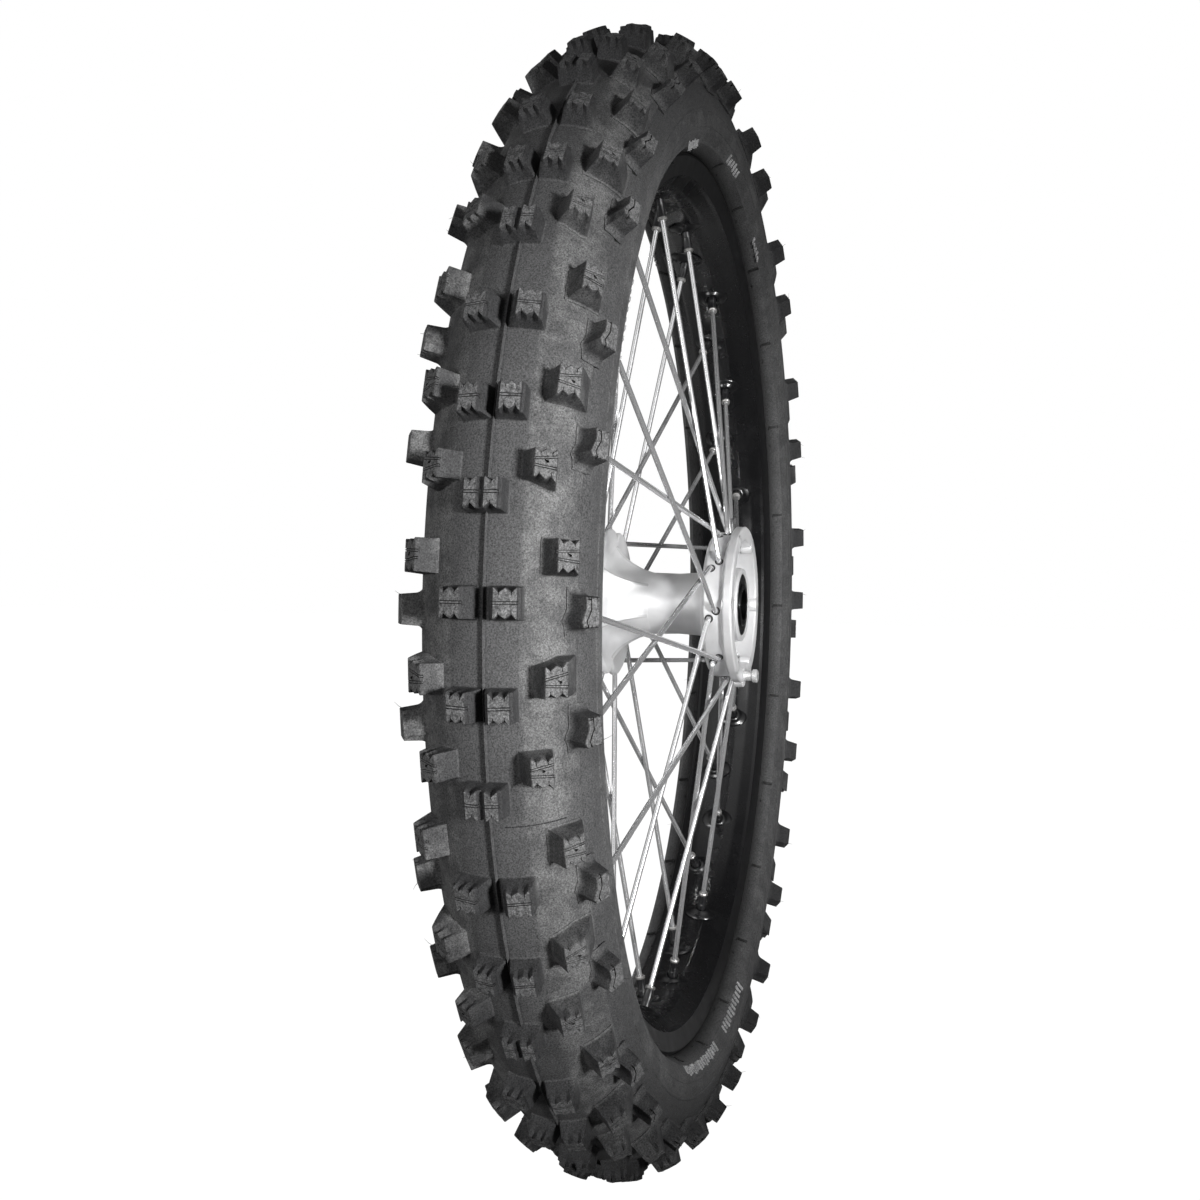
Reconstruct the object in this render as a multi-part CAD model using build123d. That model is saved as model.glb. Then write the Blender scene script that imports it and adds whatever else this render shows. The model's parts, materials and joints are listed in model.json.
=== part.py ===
from build123d import *
import math
import os

# Motocross front wheel, 21 inch, with its knobbly tyre.
# Millimetres. The axle runs along Y through the origin, the rim's middle plane is
# y = 0, +Y is the brake disc's side, +Z is up and +X is the front.
# Angles are measured about Y from +X towards +Z, in degrees.

# ---- tyre ----
TUBE_RING_R = 302.5          # centre of the tyre's round section
CASING_R = 42.0              # outside of the casing, from the section's centre
TREAD_R = 53.5               # top of the knobs, from the section's centre
PLY_INSIDE_R = 36.8          # inside of the casing
TREAD_PITCHES = 16           # the knob pattern repeats this often round the tyre
TREAD_PHASE = -0.2
TREAD_SHIFT_Y = 0.8          # the tread pattern sits this far to the disc side
# Each knob: angle in its pitch, then its inner and outer edge round the section.
CENTRE_KNOBS = [(0.0, 8.1, 19.9), (-7.5, 5.5, 16.1), (-14.65, 1.7, 8.6)]
MIDDLE_KNOBS = [(-5.65, 33.0, 44.6), (-12.35, 25.0, 36.1), (-18.95, 38.7, 50.2)]
SHOULDER_KNOBS = [(-0.6, 52.8, 63.3), (-9.9, 53.8, 64.6)]
KNOB_LENGTH = 14.4           # along the running direction, at the top
KNOB_FOOT = 40.5             # where a knob's foot is buried in the casing
KNOB_DRAFT = 9.0             # slope of a knob's four walls, in degrees
BEAD_CORE_R = 275.5
BEAD_CORE_Y = 19.3
BEAD_CORE_SIDE = 5.0
CASING_TURN = 104.0          # the round part of the casing's section, to each side
TUBE_WALL = 3.0
TUBE_GAP = 0.4               # between the inner tube and the ply
TUBE_TURN = 98.0             # the round part of the inner tube's section, to each side
TUBE_BOTTOM_R = 274.0        # the inner tube rests on the rim lock's shoe

# ---- rim ----
RIM_EDGE_R = 281.0
RIM_EDGE_Y = 28.4
RIM_CORNER_R = 268.3
RIM_CORNER_Y = 25.1
RIM_WELL_R = 258.0           # hub side of the well
RIM_WALL = 3.0
BEAD_SEAT_R = 270.4
STRIP_HALF_WIDTH = 7.6
STRIP_THICK = 1.8
HOLE_CLEARANCE = 0.3         # round the valve and the rim lock's stud

# ---- spokes ----
SPOKE_R = 1.6
SPOKES_PER_SET = 9
SPOKE_STEP = 360 / SPOKES_PER_SET
BEND_R = 4.0
BEND_STANDOFF = 1.9          # the bend's centre line over the hub's drum
HEAD_R = 2.9
HEAD_THICK = 1.8
OUTER_NIPPLE_Y = 5.5         # holes are staggered to the side they pull towards, and
INNER_NIPPLE_Y = 3.5         # the outer row further, so that crossing spokes clear
BOSS_R = 7.0                 # raised seat round each nipple
BOSS_TOP_R = 255.2
BOSS_ROOT = 1.5              # how deep a seat starts inside the rim's wall
BOSS_TAPER = 25.0            # degrees
NIPPLE_R = 3.1
NIPPLE_TIP_R = 242.0
NIPPLE_HOLE_R = 3.3
NIPPLE_HEAD_R = 4.3
NIPPLE_HEAD_THICK = 1.6
RIGHT_DRUM_R = 46.3
LEFT_DRUM_R = 42.5
# Each set: hub angle, hub y, rim angle, rim y, drum radius.
SPOKE_SETS = {
    "spokes_right_forward": (-5.1, 46.7, 40.0, OUTER_NIPPLE_Y, RIGHT_DRUM_R),
    "spokes_right_rearward": (-11.2, 42.2, -60.0, INNER_NIPPLE_Y, RIGHT_DRUM_R),
    "spokes_left_forward": (-3.0, -35.2, 50.0, -INNER_NIPPLE_Y, LEFT_DRUM_R),
    "spokes_left_rearward": (1.1, -40.4, -50.0, -OUTER_NIPPLE_Y, LEFT_DRUM_R),
}

# ---- hub ----
BARREL_R = 20.0
DRUM_WALL = 5.0
RIGHT_BACK_Y = 36.7          # back of the disc side's cup
RIGHT_FLOOR_Y = 39.0
RIGHT_FACE_Y = 57.0          # disc's seat
RING_BACK_Y = 51.0
RING_R = 50.0
LEFT_BACK_Y = -29.8
LEFT_FLOOR_Y = -32.1
LEFT_FACE_Y = -44.5
BOSS_OUT_R = 23.6            # bearing boss
RIGHT_MOUTH_Y = 55.5
LEFT_MOUTH_Y = -50.0
PETAL_R = 8.4
PETAL_CENTRE_R = 38.0
PETAL_THICK = 4.0
DISC_PCD = 91.0
DISC_HOLES = 6
DISC_HOLE_R = 2.5
DISC_HOLE_DEPTH = 8.0
MAGNET_ANGLE = -90.0
MAGNET_R = 3.25

# ---- bearings, seals and axle parts ----
AXLE_BORE_R = 10.05
BEARING_R = 18.5
TUBE_OUT_R = 12.6            # the distance tube between the bearings
BEARING_WIDTH = 9.0
RIGHT_BEARING_Y = 38.5       # inner face
LEFT_BEARING_Y = -34.5       # inner face
INNER_RACE_R = 12.3
OUTER_RACE_R = 16.2
BALL_R = 2.6
BALL_RING_R = 14.25
BALLS = 10
GROOVE_R = 2.75
CAGE_HALF_WIDTH = 3.0
SHIELD_THICK = 0.7
SHIELD_INSET = 0.3           # from the bearing's face
CIRCLIP_THICK = 1.5
SEAL_R = 19.5
SEAL_WIDTH = 5.5
COLLAR_R = 13.5
COLLAR_FLANGE_R = 16.5
AXLE_LENGTH = 112.0          # over the two collars
RUN_GAP = 0.1                # radial gap of a seal lip on its collar

# ---- valve and rim lock ----
VALVE_ANGLE = 15.0
VALVE_R = 4.0
VALVE_TIP_R = 229.0
VALVE_BORE_R = 2.6
PIN_R = 0.8
THREAD_PITCH = 1.4           # of the grooves that stand for the valve's thread
NUT_FLATS = 12.0             # of the valve's nut and the rim lock's
LOCK_ANGLE = -45.0
LOCK_STUD_R = 4.0
LOCK_TIP_R = 224.0


def at(angle, radius=0.0, y=0.0):
    """A place on the wheel: its own X points away from the axle."""
    return Rot(0, -angle, 0) * Pos(radius, y, 0)


def spun(points):
    """The ring whose half section is the closed outline of (radius, y) points."""
    return revolve(make_face(Polyline(*points, close=True)), axis=Axis.Y)


def ring(inner, outer, low, high):
    """A plain ring about the axle."""
    return spun([(inner, low), (outer, low), (outer, high), (inner, high)])


def round_ring(centre, radius, y=0.0):
    """A torus about the axle."""
    return revolve(Pos(centre, y, 0) * Circle(radius), axis=Axis.Y)


def rod(start, end, radius):
    """A round bar between two points."""
    path = Line(start, end)
    return extrude(Plane(origin=path @ 0, z_dir=path % 0) * Circle(radius), path.length)


def mirrored(shape):
    """The same shape on the other side of the rim's middle plane."""
    return mirror(shape, about=Plane.XZ)


def point(angle, radius, y):
    a = math.radians(angle)
    return Vector(radius * math.cos(a), y, radius * math.sin(a))


# ---- tyre and what is inside it ----

def casing_section(section_r, foot):
    """Half outline of the casing, from the crown to the foot points of the bead."""
    turn = math.radians(CASING_TURN)
    crown = (TUBE_RING_R + section_r, 0)
    flank = (TUBE_RING_R + section_r * math.cos(turn / 2), section_r * math.sin(turn / 2))
    low = (TUBE_RING_R + section_r * math.cos(turn), section_r * math.sin(turn))
    return ThreePointArc(crown, flank, low), Polyline(low, *foot)


def casing():
    outer_foot = [(286.2, 37.0), (282.6, 31.5), (281.7, 26.2), (279.0, 24.9),
                  (272.4, 23.1), (BEAD_SEAT_R + 0.1, 21.2)]
    inner_foot = [(286.5, 29.5), (281.5, 20.0), (277.0, 14.6), (BEAD_SEAT_R + 0.1, 13.8)]
    outer_arc, outer_bead = casing_section(CASING_R, outer_foot)
    inner_arc, inner_bead = casing_section(PLY_INSIDE_R, inner_foot)
    toe = Line(outer_foot[-1], inner_foot[-1])
    crown = Line((TUBE_RING_R + CASING_R, 0), (TUBE_RING_R + PLY_INSIDE_R, 0))
    half = make_face(Curve() + [outer_arc, outer_bead, toe, inner_bead, inner_arc, crown])
    one = revolve(half, axis=Axis.Y)
    return one + mirrored(one)


def knob(pitch_angle, inner_edge, outer_edge, side):
    """One knob: a block with sloping walls, its foot buried in the casing."""
    width = math.radians(outer_edge - inner_edge) * TREAD_R
    turn = side * (inner_edge + outer_edge) / 2
    top = Plane(origin=(TREAD_R, 0, 0), x_dir=(0, 1, 0), z_dir=(-1, 0, 0))
    block = extrude(top * Rectangle(width, KNOB_LENGTH), TREAD_R - KNOB_FOOT, taper=-KNOB_DRAFT)
    return at(pitch_angle, TUBE_RING_R, TREAD_SHIFT_Y) * Rot(0, 0, turn) * block


def tyre():
    blocks = []
    for angle, inner_edge, outer_edge in CENTRE_KNOBS + MIDDLE_KNOBS + SHOULDER_KNOBS:
        for side in (1, -1):
            first = knob(angle + TREAD_PHASE, inner_edge, outer_edge, side)
            for pitch in range(TREAD_PITCHES):
                blocks.append(Rot(0, -pitch * 360 / TREAD_PITCHES, 0) * first)
    solid = casing() + blocks
    for side in (1, -1):
        solid -= bead_core(side)
    return solid


def bead_core(side):
    half = BEAD_CORE_SIDE / 2
    y = side * BEAD_CORE_Y
    return ring(BEAD_CORE_R - half, BEAD_CORE_R + half, y - half, y + half)


def inner_tube():
    shapes = []
    for shrink in (0.0, TUBE_WALL):
        r = PLY_INSIDE_R - TUBE_GAP - shrink
        bottom = TUBE_BOTTOM_R + shrink
        turn = math.radians(TUBE_TURN)
        crown = (TUBE_RING_R + r, 0)
        flank = (TUBE_RING_R + r * math.cos(turn / 2), r * math.sin(turn / 2))
        low = (TUBE_RING_R + r * math.cos(turn), r * math.sin(turn))
        arc = ThreePointArc(crown, flank, low)
        foot = Polyline(low, (288.0 + shrink / 2, 28.6 - shrink), (281.0 + shrink, 17.0 - shrink),
                        (bottom + 2.5, 10.5 - shrink), (bottom, 8.0 - shrink), (bottom, 0), crown)
        one = revolve(make_face(Curve() + [arc, foot]), axis=Axis.Y)
        shapes.append(one + mirrored(one))
    air_hole = at(VALVE_ANGLE) * rod((270, 0, 0), (280, 0, 0), VALVE_BORE_R)
    return shapes[0] - shapes[1] - air_hole


# ---- rim ----

def rim_body():
    well_in = RIM_WELL_R
    well_out = RIM_WELL_R + RIM_WALL
    half = [(well_in, 0), (well_in + 0.3, 10.0), (well_in + 2.4, 15.5),
            (RIM_CORNER_R - 1.6, 22.4), (RIM_CORNER_R, RIM_CORNER_Y),
            (RIM_EDGE_R - 1.2, RIM_EDGE_Y), (RIM_EDGE_R, RIM_EDGE_Y - 0.9),
            (RIM_EDGE_R, RIM_EDGE_Y - 2.2), (RIM_EDGE_R - 1.2, RIM_EDGE_Y - 2.9),
            (272.6, 23.6), (BEAD_SEAT_R, 21.6), (BEAD_SEAT_R, 13.4), (269.2, 12.6),
            (well_out + 2.4, 9.6), (well_out, 8.0), (well_out, 0)]
    one = spun(half)
    return one + mirrored(one)


def nipple_line(name):
    """Where a set's first nipple and spoke lie: rim point, bend point, wall point."""
    hub_angle, hub_y, rim_angle, rim_y, drum_r = SPOKE_SETS[name]
    seat = point(rim_angle, RIM_WELL_R, rim_y)
    bend = point(hub_angle, drum_r + BEND_STANDOFF, hub_y)
    inside = point(hub_angle, drum_r - DRUM_WALL - 0.6, hub_y)
    return seat, bend, inside


def along(name, seat_distance):
    """A point on the first spoke's line, this far from the nipple's seat towards the hub."""
    seat, bend, _ = nipple_line(name)
    return seat + (bend - seat).normalized() * seat_distance


def round_the_wheel(shape):
    """A set's nine copies."""
    return [Rot(0, -k * SPOKE_STEP, 0) * shape for k in range(SPOKES_PER_SET)]


def rim():
    solid = rim_body()
    bosses = []
    holes = []
    for name in SPOKE_SETS:
        root = Plane(origin=along(name, -BOSS_ROOT), z_dir=along(name, 1) - along(name, 0))
        height = RIM_WELL_R - BOSS_TOP_R + BOSS_ROOT
        boss = extrude(root * Circle(BOSS_R), height, taper=BOSS_TAPER)
        bosses += round_the_wheel(boss)
        drill = rod(along(name, 9), along(name, -9), NIPPLE_HOLE_R)
        seat = rod(along(name, -0.4), along(name, -9), NIPPLE_HEAD_R + 0.2)
        holes += round_the_wheel(drill) + round_the_wheel(seat)
    solid += bosses
    for angle, bar_r in ((VALVE_ANGLE, VALVE_R), (LOCK_ANGLE, LOCK_STUD_R)):
        holes.append(at(angle) * rod((250, 0, 0), (266, 0, 0), bar_r + HOLE_CLEARANCE))
    return solid - holes


def rim_strip():
    low = RIM_WELL_R + RIM_WALL + 0.1
    strip = ring(low, low + STRIP_THICK, -STRIP_HALF_WIDTH, STRIP_HALF_WIDTH)
    for angle in (VALVE_ANGLE, LOCK_ANGLE):
        strip -= at(angle) * rod((255, 0, 0), (266, 0, 0), VALVE_R + 0.4)
    return strip


# ---- spokes and nipples ----

def spoke(name):
    """A straight run, a tight bend through the hub's drum and a head inside it."""
    _, bend, inside = nipple_line(name)
    path = FilletPolyline(along(name, 4.0), bend, inside, radius=BEND_R)
    wire = sweep(Plane(origin=path @ 0, z_dir=path % 0) * Circle(SPOKE_R), path=path)
    outward = (bend - inside).normalized()
    head = Plane(origin=inside + outward * 0.4, z_dir=outward * -1)
    return wire + extrude(head * Circle(HEAD_R), HEAD_THICK, taper=12)


def nipple(name):
    """A long nipple: a head in the rim's seat and a shank round the spoke's end."""
    seat, bend, _ = nipple_line(name)
    length = RIM_WELL_R - NIPPLE_TIP_R
    shank = rod(along(name, -0.5), along(name, length), NIPPLE_R)
    head = rod(along(name, -0.5), along(name, -0.5 - NIPPLE_HEAD_THICK), NIPPLE_HEAD_R)
    bore = rod(along(name, 3.9), along(name, length + 1), SPOKE_R)
    return shank + head - bore


# ---- hub ----

def hub_body():
    """Barrel, flared left end and cupped right end, all one casting."""
    right_in = RIGHT_DRUM_R - DRUM_WALL
    left_in = LEFT_DRUM_R - DRUM_WALL
    outline = [
        (BARREL_R, -4), (BARREL_R - 0.5, 14), (BARREL_R + 0.4, 29), (23, 34.5),
        (29, RIGHT_BACK_Y), (RIGHT_DRUM_R - 2.5, RIGHT_BACK_Y),
        (RIGHT_DRUM_R, RIGHT_BACK_Y + 2.2), (RIGHT_DRUM_R, RING_BACK_Y - 1.2),
        (RING_R - 0.8, RING_BACK_Y), (RING_R, RING_BACK_Y + 0.8),
        (RING_R, RIGHT_FACE_Y - 0.8), (RING_R - 0.8, RIGHT_FACE_Y),
        (right_in + 0.8, RIGHT_FACE_Y), (right_in, RIGHT_FACE_Y - 0.8),
        (right_in, RIGHT_FLOOR_Y), (BOSS_OUT_R + 1.4, RIGHT_FLOOR_Y),
        (BOSS_OUT_R, RIGHT_FLOOR_Y + 1.4), (BOSS_OUT_R, RIGHT_MOUTH_Y - 1),
        (BOSS_OUT_R - 1, RIGHT_MOUTH_Y), (12, RIGHT_MOUTH_Y), (12, LEFT_MOUTH_Y),
        (BOSS_OUT_R - 1, LEFT_MOUTH_Y), (BOSS_OUT_R, LEFT_MOUTH_Y + 1),
        (BOSS_OUT_R, LEFT_FLOOR_Y - 1.4), (BOSS_OUT_R + 1.4, LEFT_FLOOR_Y),
        (left_in, LEFT_FLOOR_Y), (left_in, LEFT_FACE_Y),
        (LEFT_DRUM_R - 0.8, LEFT_FACE_Y), (LEFT_DRUM_R, LEFT_FACE_Y + 0.8),
        (LEFT_DRUM_R, LEFT_BACK_Y - 2.2), (LEFT_DRUM_R - 2.2, LEFT_BACK_Y),
        (33, LEFT_BACK_Y), (29, -28), (25.5, -22), (22.2, -14)]
    return spun(outline)


def hub_bores():
    """Bearing seats, seal mouths, the circlip's groove and the way between them."""
    right_end = RIGHT_BEARING_Y + BEARING_WIDTH
    left_end = LEFT_BEARING_Y - BEARING_WIDTH
    return [
        ring(0, 15.5, LEFT_MOUTH_Y - 1, RIGHT_MOUTH_Y + 1),
        ring(0, BEARING_R, RIGHT_BEARING_Y, right_end + CIRCLIP_THICK + 1),
        ring(0, BEARING_R + 0.9, right_end, right_end + CIRCLIP_THICK),
        ring(0, SEAL_R, right_end + CIRCLIP_THICK + 0.5, RIGHT_MOUTH_Y + 1),
        ring(0, BEARING_R, left_end - 1, LEFT_BEARING_Y),
        ring(0, SEAL_R, LEFT_MOUTH_Y - 1, left_end - 0.5),
    ]


def rib(angle):
    """A tapered rib from a petal down to the barrel."""
    edge = [(18.5, -2), (21, -6), (26.5, -17), (33, -25), (42, LEFT_BACK_Y + 0.5),
            (36, LEFT_BACK_Y - 1), (18.5, LEFT_BACK_Y - 1)]
    blade = extrude(make_face(Polyline(*edge, close=True)), 2.2, both=True)
    return at(angle) * blade


def hub():
    solid = hub_body()
    petals = []
    first = (SPOKE_SETS["spokes_left_forward"][0] + SPOKE_SETS["spokes_left_rearward"][0]) / 2
    for k in range(SPOKES_PER_SET):
        angle = first + k * SPOKE_STEP
        lobe = ring(0, PETAL_R, LEFT_BACK_Y - PETAL_THICK / 2, LEFT_BACK_Y + PETAL_THICK / 2)
        petals.append(at(angle, PETAL_CENTRE_R) * lobe)
        petals.append(rib(angle))
    lug = ring(0, 6.0, RING_BACK_Y, RIGHT_FACE_Y)
    solid += petals + [at(MAGNET_ANGLE, DISC_PCD / 2 + 0.6) * lug]
    holes = hub_bores()
    for name in SPOKE_SETS:
        _, bend, inside = nipple_line(name)
        holes += round_the_wheel(rod(inside - (bend - inside).normalized(), bend, SPOKE_R + 0.3))
    for k in range(DISC_HOLES):
        hole = ring(0, DISC_HOLE_R, RIGHT_FACE_Y - DISC_HOLE_DEPTH, RIGHT_FACE_Y + 1)
        holes.append(at(k * 360 / DISC_HOLES, DISC_PCD / 2) * hole)
    holes.append(at(MAGNET_ANGLE, DISC_PCD / 2) * ring(0, MAGNET_R, RING_BACK_Y, RIGHT_FACE_Y + 1))
    return solid - holes


def magnet_holder():
    """A post that carries a speed sensor's magnet, pressed into the disc ring."""
    post = spun([(0, RING_BACK_Y), (MAGNET_R, RING_BACK_Y), (MAGNET_R, 62.2), (4.3, 62.8),
                 (4.3, 65.2), (3.7, 65.8), (0, 65.8)])
    return at(MAGNET_ANGLE, DISC_PCD / 2) * post


# ---- bearings, seals and axle parts ----

def races(low):
    """Inner and outer race of one deep-groove bearing, from y = low."""
    high = low + BEARING_WIDTH
    groove = round_ring(BALL_RING_R, GROOVE_R, low + BEARING_WIDTH / 2)
    inner = ring(AXLE_BORE_R, INNER_RACE_R, low, high) - groove
    outer = ring(OUTER_RACE_R, BEARING_R, low, high) - groove
    for edge, inward in ((low, 1), (high, -1)):
        near, far = sorted((edge + inward * SHIELD_INSET,
                            edge + inward * (SHIELD_INSET + SHIELD_THICK)))
        outer -= ring(OUTER_RACE_R - 1, OUTER_RACE_R + 0.6, near, far)
    return inner, outer


def shields(low):
    high = low + BEARING_WIDTH
    inner = INNER_RACE_R + 0.2
    outer = OUTER_RACE_R + 0.6
    return [ring(inner, outer, low + SHIELD_INSET, low + SHIELD_INSET + SHIELD_THICK),
            ring(inner, outer, high - SHIELD_INSET - SHIELD_THICK, high - SHIELD_INSET)]


def balls(low):
    middle = low + BEARING_WIDTH / 2
    return [at(k * 360 / BALLS, BALL_RING_R, middle) * Sphere(BALL_R) for k in range(BALLS)]


def cage(low):
    middle = low + BEARING_WIDTH / 2
    band = ring(BALL_RING_R - 1.0, BALL_RING_R + 1.0, middle - CAGE_HALF_WIDTH, middle + CAGE_HALF_WIDTH)
    pocket = Pos(0, middle, 0) * rod((BALL_RING_R - 4, 0, 0), (BALL_RING_R + 4, 0, 0), BALL_R + 0.12)
    pockets = [at(k * 360 / BALLS) * pocket for k in range(BALLS)]
    return band - pockets


def oil_seal(low, high, lip_side):
    """A steel-backed rubber ring with a lip that runs on the collar."""
    lip_low, lip_high = (low, low + 2.2) if lip_side < 0 else (high - 2.2, high)
    body = ring(16.8, SEAL_R, low, high)
    web = ring(15.0, 17.4, lip_low, lip_high)
    lip = ring(COLLAR_R + RUN_GAP, 15.4, lip_low + 0.4, lip_high - 0.2)
    return body + web + lip


def circlip():
    low = RIGHT_BEARING_Y + BEARING_WIDTH + 0.1
    high = low + CIRCLIP_THICK - 0.2
    clip = ring(16.6, BEARING_R + 0.8, low, high)
    ears = [at(angle, 16.9) * ring(0, 1.9, low, high) for angle in (82, 98)]
    gap = Pos(0, 0, 18) * Box(3.0, 120, 12)
    ear_holes = [at(angle, 16.4) * ring(0, 0.8, low - 1, high + 1) for angle in (82, 98)]
    return clip + ears - gap - ear_holes


def collar(side):
    """A spacer that runs in the seal: a sleeve with a rim that ends flush."""
    start = RIGHT_BEARING_Y + BEARING_WIDTH if side > 0 else -LEFT_BEARING_Y + BEARING_WIDTH
    end = AXLE_LENGTH / 2
    mouth = RIGHT_MOUTH_Y if side > 0 else -LEFT_MOUTH_Y
    race_r = INNER_RACE_R - 0.1
    outline = [(AXLE_BORE_R, start), (race_r, start), (race_r, start + 1.2), (COLLAR_R, start + 1.8)]
    if end - mouth > 3:
        outline += [(COLLAR_R, mouth + 0.8), (COLLAR_FLANGE_R, mouth + 0.8),
                    (COLLAR_FLANGE_R, end - 0.6), (COLLAR_FLANGE_R - 0.6, end)]
    else:
        outline += [(COLLAR_R, end - 0.6), (COLLAR_R - 0.6, end)]
    outline += [(AXLE_BORE_R, end)]
    part = spun(outline)
    return part if side > 0 else mirrored(part)


# ---- valve ----

def valve_stem():
    """Brass stem with a round foot on the tube, threaded all the way."""
    foot = TUBE_BOTTOM_R - 0.05
    tip = VALVE_TIP_R
    stem = spun_x([(foot, 0), (foot, 7.5), (foot - 1.0, 7.5), (foot - 2.6, VALVE_R), (tip + 8, VALVE_R),
                   (tip + 7.4, 3.5), (tip + 0.5, 3.5), (tip, 3.1), (tip, 0)])
    threads = [spun_x([(r - 0.35, 4.3), (r - 0.35, 3.75), (r + 0.35, 3.75), (r + 0.35, 4.3)])
               for r in [240 + THREAD_PITCH * k for k in range(9)]]
    bore = rod((tip - 1, 0, 0), (280, 0, 0), VALVE_BORE_R)
    return at(VALVE_ANGLE) * (stem - threads - bore)


def spun_x(points):
    """A round part about its own X, from the outline of (x, radius) points."""
    return revolve(make_face(Polyline(*points, close=True)), axis=Axis.X)


def valve_core():
    low = VALVE_TIP_R + 1.5
    body = spun_x([(low, 1.1), (low, VALVE_BORE_R), (250, VALVE_BORE_R), (252, 1.8), (252, 1.1)])
    return at(VALVE_ANGLE) * body


def valve_pin():
    """The pin that opens the valve when it is pushed towards the rim."""
    pin = spun_x([(VALVE_TIP_R + 0.5, 0), (VALVE_TIP_R + 0.5, PIN_R), (252.6, PIN_R), (252.6, 1.9),
                  (254.0, 1.9), (254.0, 0)])
    return at(VALVE_ANGLE) * pin


def valve_cap():
    tip = VALVE_TIP_R
    cap = spun_x([(tip - 3.0, 0), (tip - 3.0, 3.6), (tip - 2.0, 4.7), (tip + 7.0, 4.9), (tip + 7.0, 3.55),
                  (tip - 0.8, 3.55), (tip - 0.8, 0)])
    return at(VALVE_ANGLE) * cap


def hex_nut(low, high, bore, flats):
    """A hexagon nut about its own X between two distances from the axle."""
    outline = Plane(origin=(low, 0, 0), z_dir=(1, 0, 0)) * RegularPolygon(flats / math.sqrt(3), 6)
    blank = extrude(outline, high - low)
    return blank - rod((low - 1, 0, 0), (high + 1, 0, 0), bore)


# ---- rim lock ----

def lock_shoe():
    """A rubber-faced clamp that holds both beads against the rim."""
    pad = ring(264.2, 272.6, -11.5, 11.5) & (Pos(268, 0, 0) * Box(30, 40, 62))
    bevel = ring(263.0, 268.5, 9.0, 12.0) + ring(263.0, 268.5, -12.0, -9.0)
    head_room = rod((262, 0, 0), (269.6, 0, 0), LOCK_STUD_R)
    return at(LOCK_ANGLE) * (pad - bevel - head_room)


def lock_stud():
    stud = spun_x([(LOCK_TIP_R, 0), (LOCK_TIP_R, LOCK_STUD_R - 0.7), (LOCK_TIP_R + 0.7, LOCK_STUD_R),
                   (269.5, LOCK_STUD_R), (269.5, 0)])
    return at(LOCK_ANGLE) * stud


def lock_washer():
    bore = LOCK_STUD_R + 0.2
    high = RIM_WELL_R - 0.3
    return at(LOCK_ANGLE) * spun_x([(253.0, bore), (253.0, 7.0), (high, 7.8), (high, bore)])


def main():
    os.makedirs("parts", exist_ok=True)
    right_inner, right_outer = races(RIGHT_BEARING_Y)
    left_low = LEFT_BEARING_Y - BEARING_WIDTH
    left_inner, left_outer = races(left_low)
    seal_low = RIGHT_BEARING_Y + BEARING_WIDTH + CIRCLIP_THICK + 0.5
    left_seal_high = left_low - 0.5
    parts = {
        "tyre": tyre(),
        "bead_core_right": bead_core(1),
        "bead_core_left": bead_core(-1),
        "inner_tube": inner_tube(),
        "rim_strip": rim_strip(),
        "rim": rim(),
        "nipples_right": [n for name in list(SPOKE_SETS)[:2] for n in round_the_wheel(nipple(name))],
        "nipples_left": [n for name in list(SPOKE_SETS)[2:] for n in round_the_wheel(nipple(name))],
        "hub": hub(),
        "sensor_magnet_post": magnet_holder(),
        "bearing_right_inner_race": right_inner,
        "bearing_right_outer_race": right_outer,
        "bearing_right_balls": balls(RIGHT_BEARING_Y),
        "bearing_right_cage": cage(RIGHT_BEARING_Y),
        "bearing_right_shields": shields(RIGHT_BEARING_Y),
        "bearing_left_inner_race": left_inner,
        "bearing_left_outer_race": left_outer,
        "bearing_left_balls": balls(left_low),
        "bearing_left_cage": cage(left_low),
        "bearing_left_shields": shields(left_low),
        "bearing_circlip": circlip(),
        "oil_seal_right": oil_seal(seal_low, seal_low + SEAL_WIDTH, 1),
        "oil_seal_left": oil_seal(left_seal_high - SEAL_WIDTH, left_seal_high, -1),
        "distance_tube": ring(AXLE_BORE_R, TUBE_OUT_R, LEFT_BEARING_Y, RIGHT_BEARING_Y),
        "axle_collar_right": collar(1),
        "axle_collar_left": collar(-1),
        "valve_stem": valve_stem(),
        "valve_core": valve_core(),
        "valve_pin": valve_pin(),
        "valve_cap": valve_cap(),
        "valve_nut": at(VALVE_ANGLE) * hex_nut(RIM_WELL_R - 3.1, RIM_WELL_R - 0.1, VALVE_R, NUT_FLATS),
        "rim_lock_shoe": lock_shoe(),
        "rim_lock_stud": lock_stud(),
        "rim_lock_washer": lock_washer(),
        "rim_lock_nut": at(LOCK_ANGLE) * hex_nut(246.4, 252.9, LOCK_STUD_R, NUT_FLATS),
    }
    for name in SPOKE_SETS:
        parts[name] = round_the_wheel(spoke(name))
    for name, shape in parts.items():
        whole = Compound(children=shape) if isinstance(shape, list) else shape
        export_step(whole, f"parts/{name}.step")


main()
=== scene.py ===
import json
import math

import bmesh
import bpy
import numpy as np
from mathutils import Matrix, Vector


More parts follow.
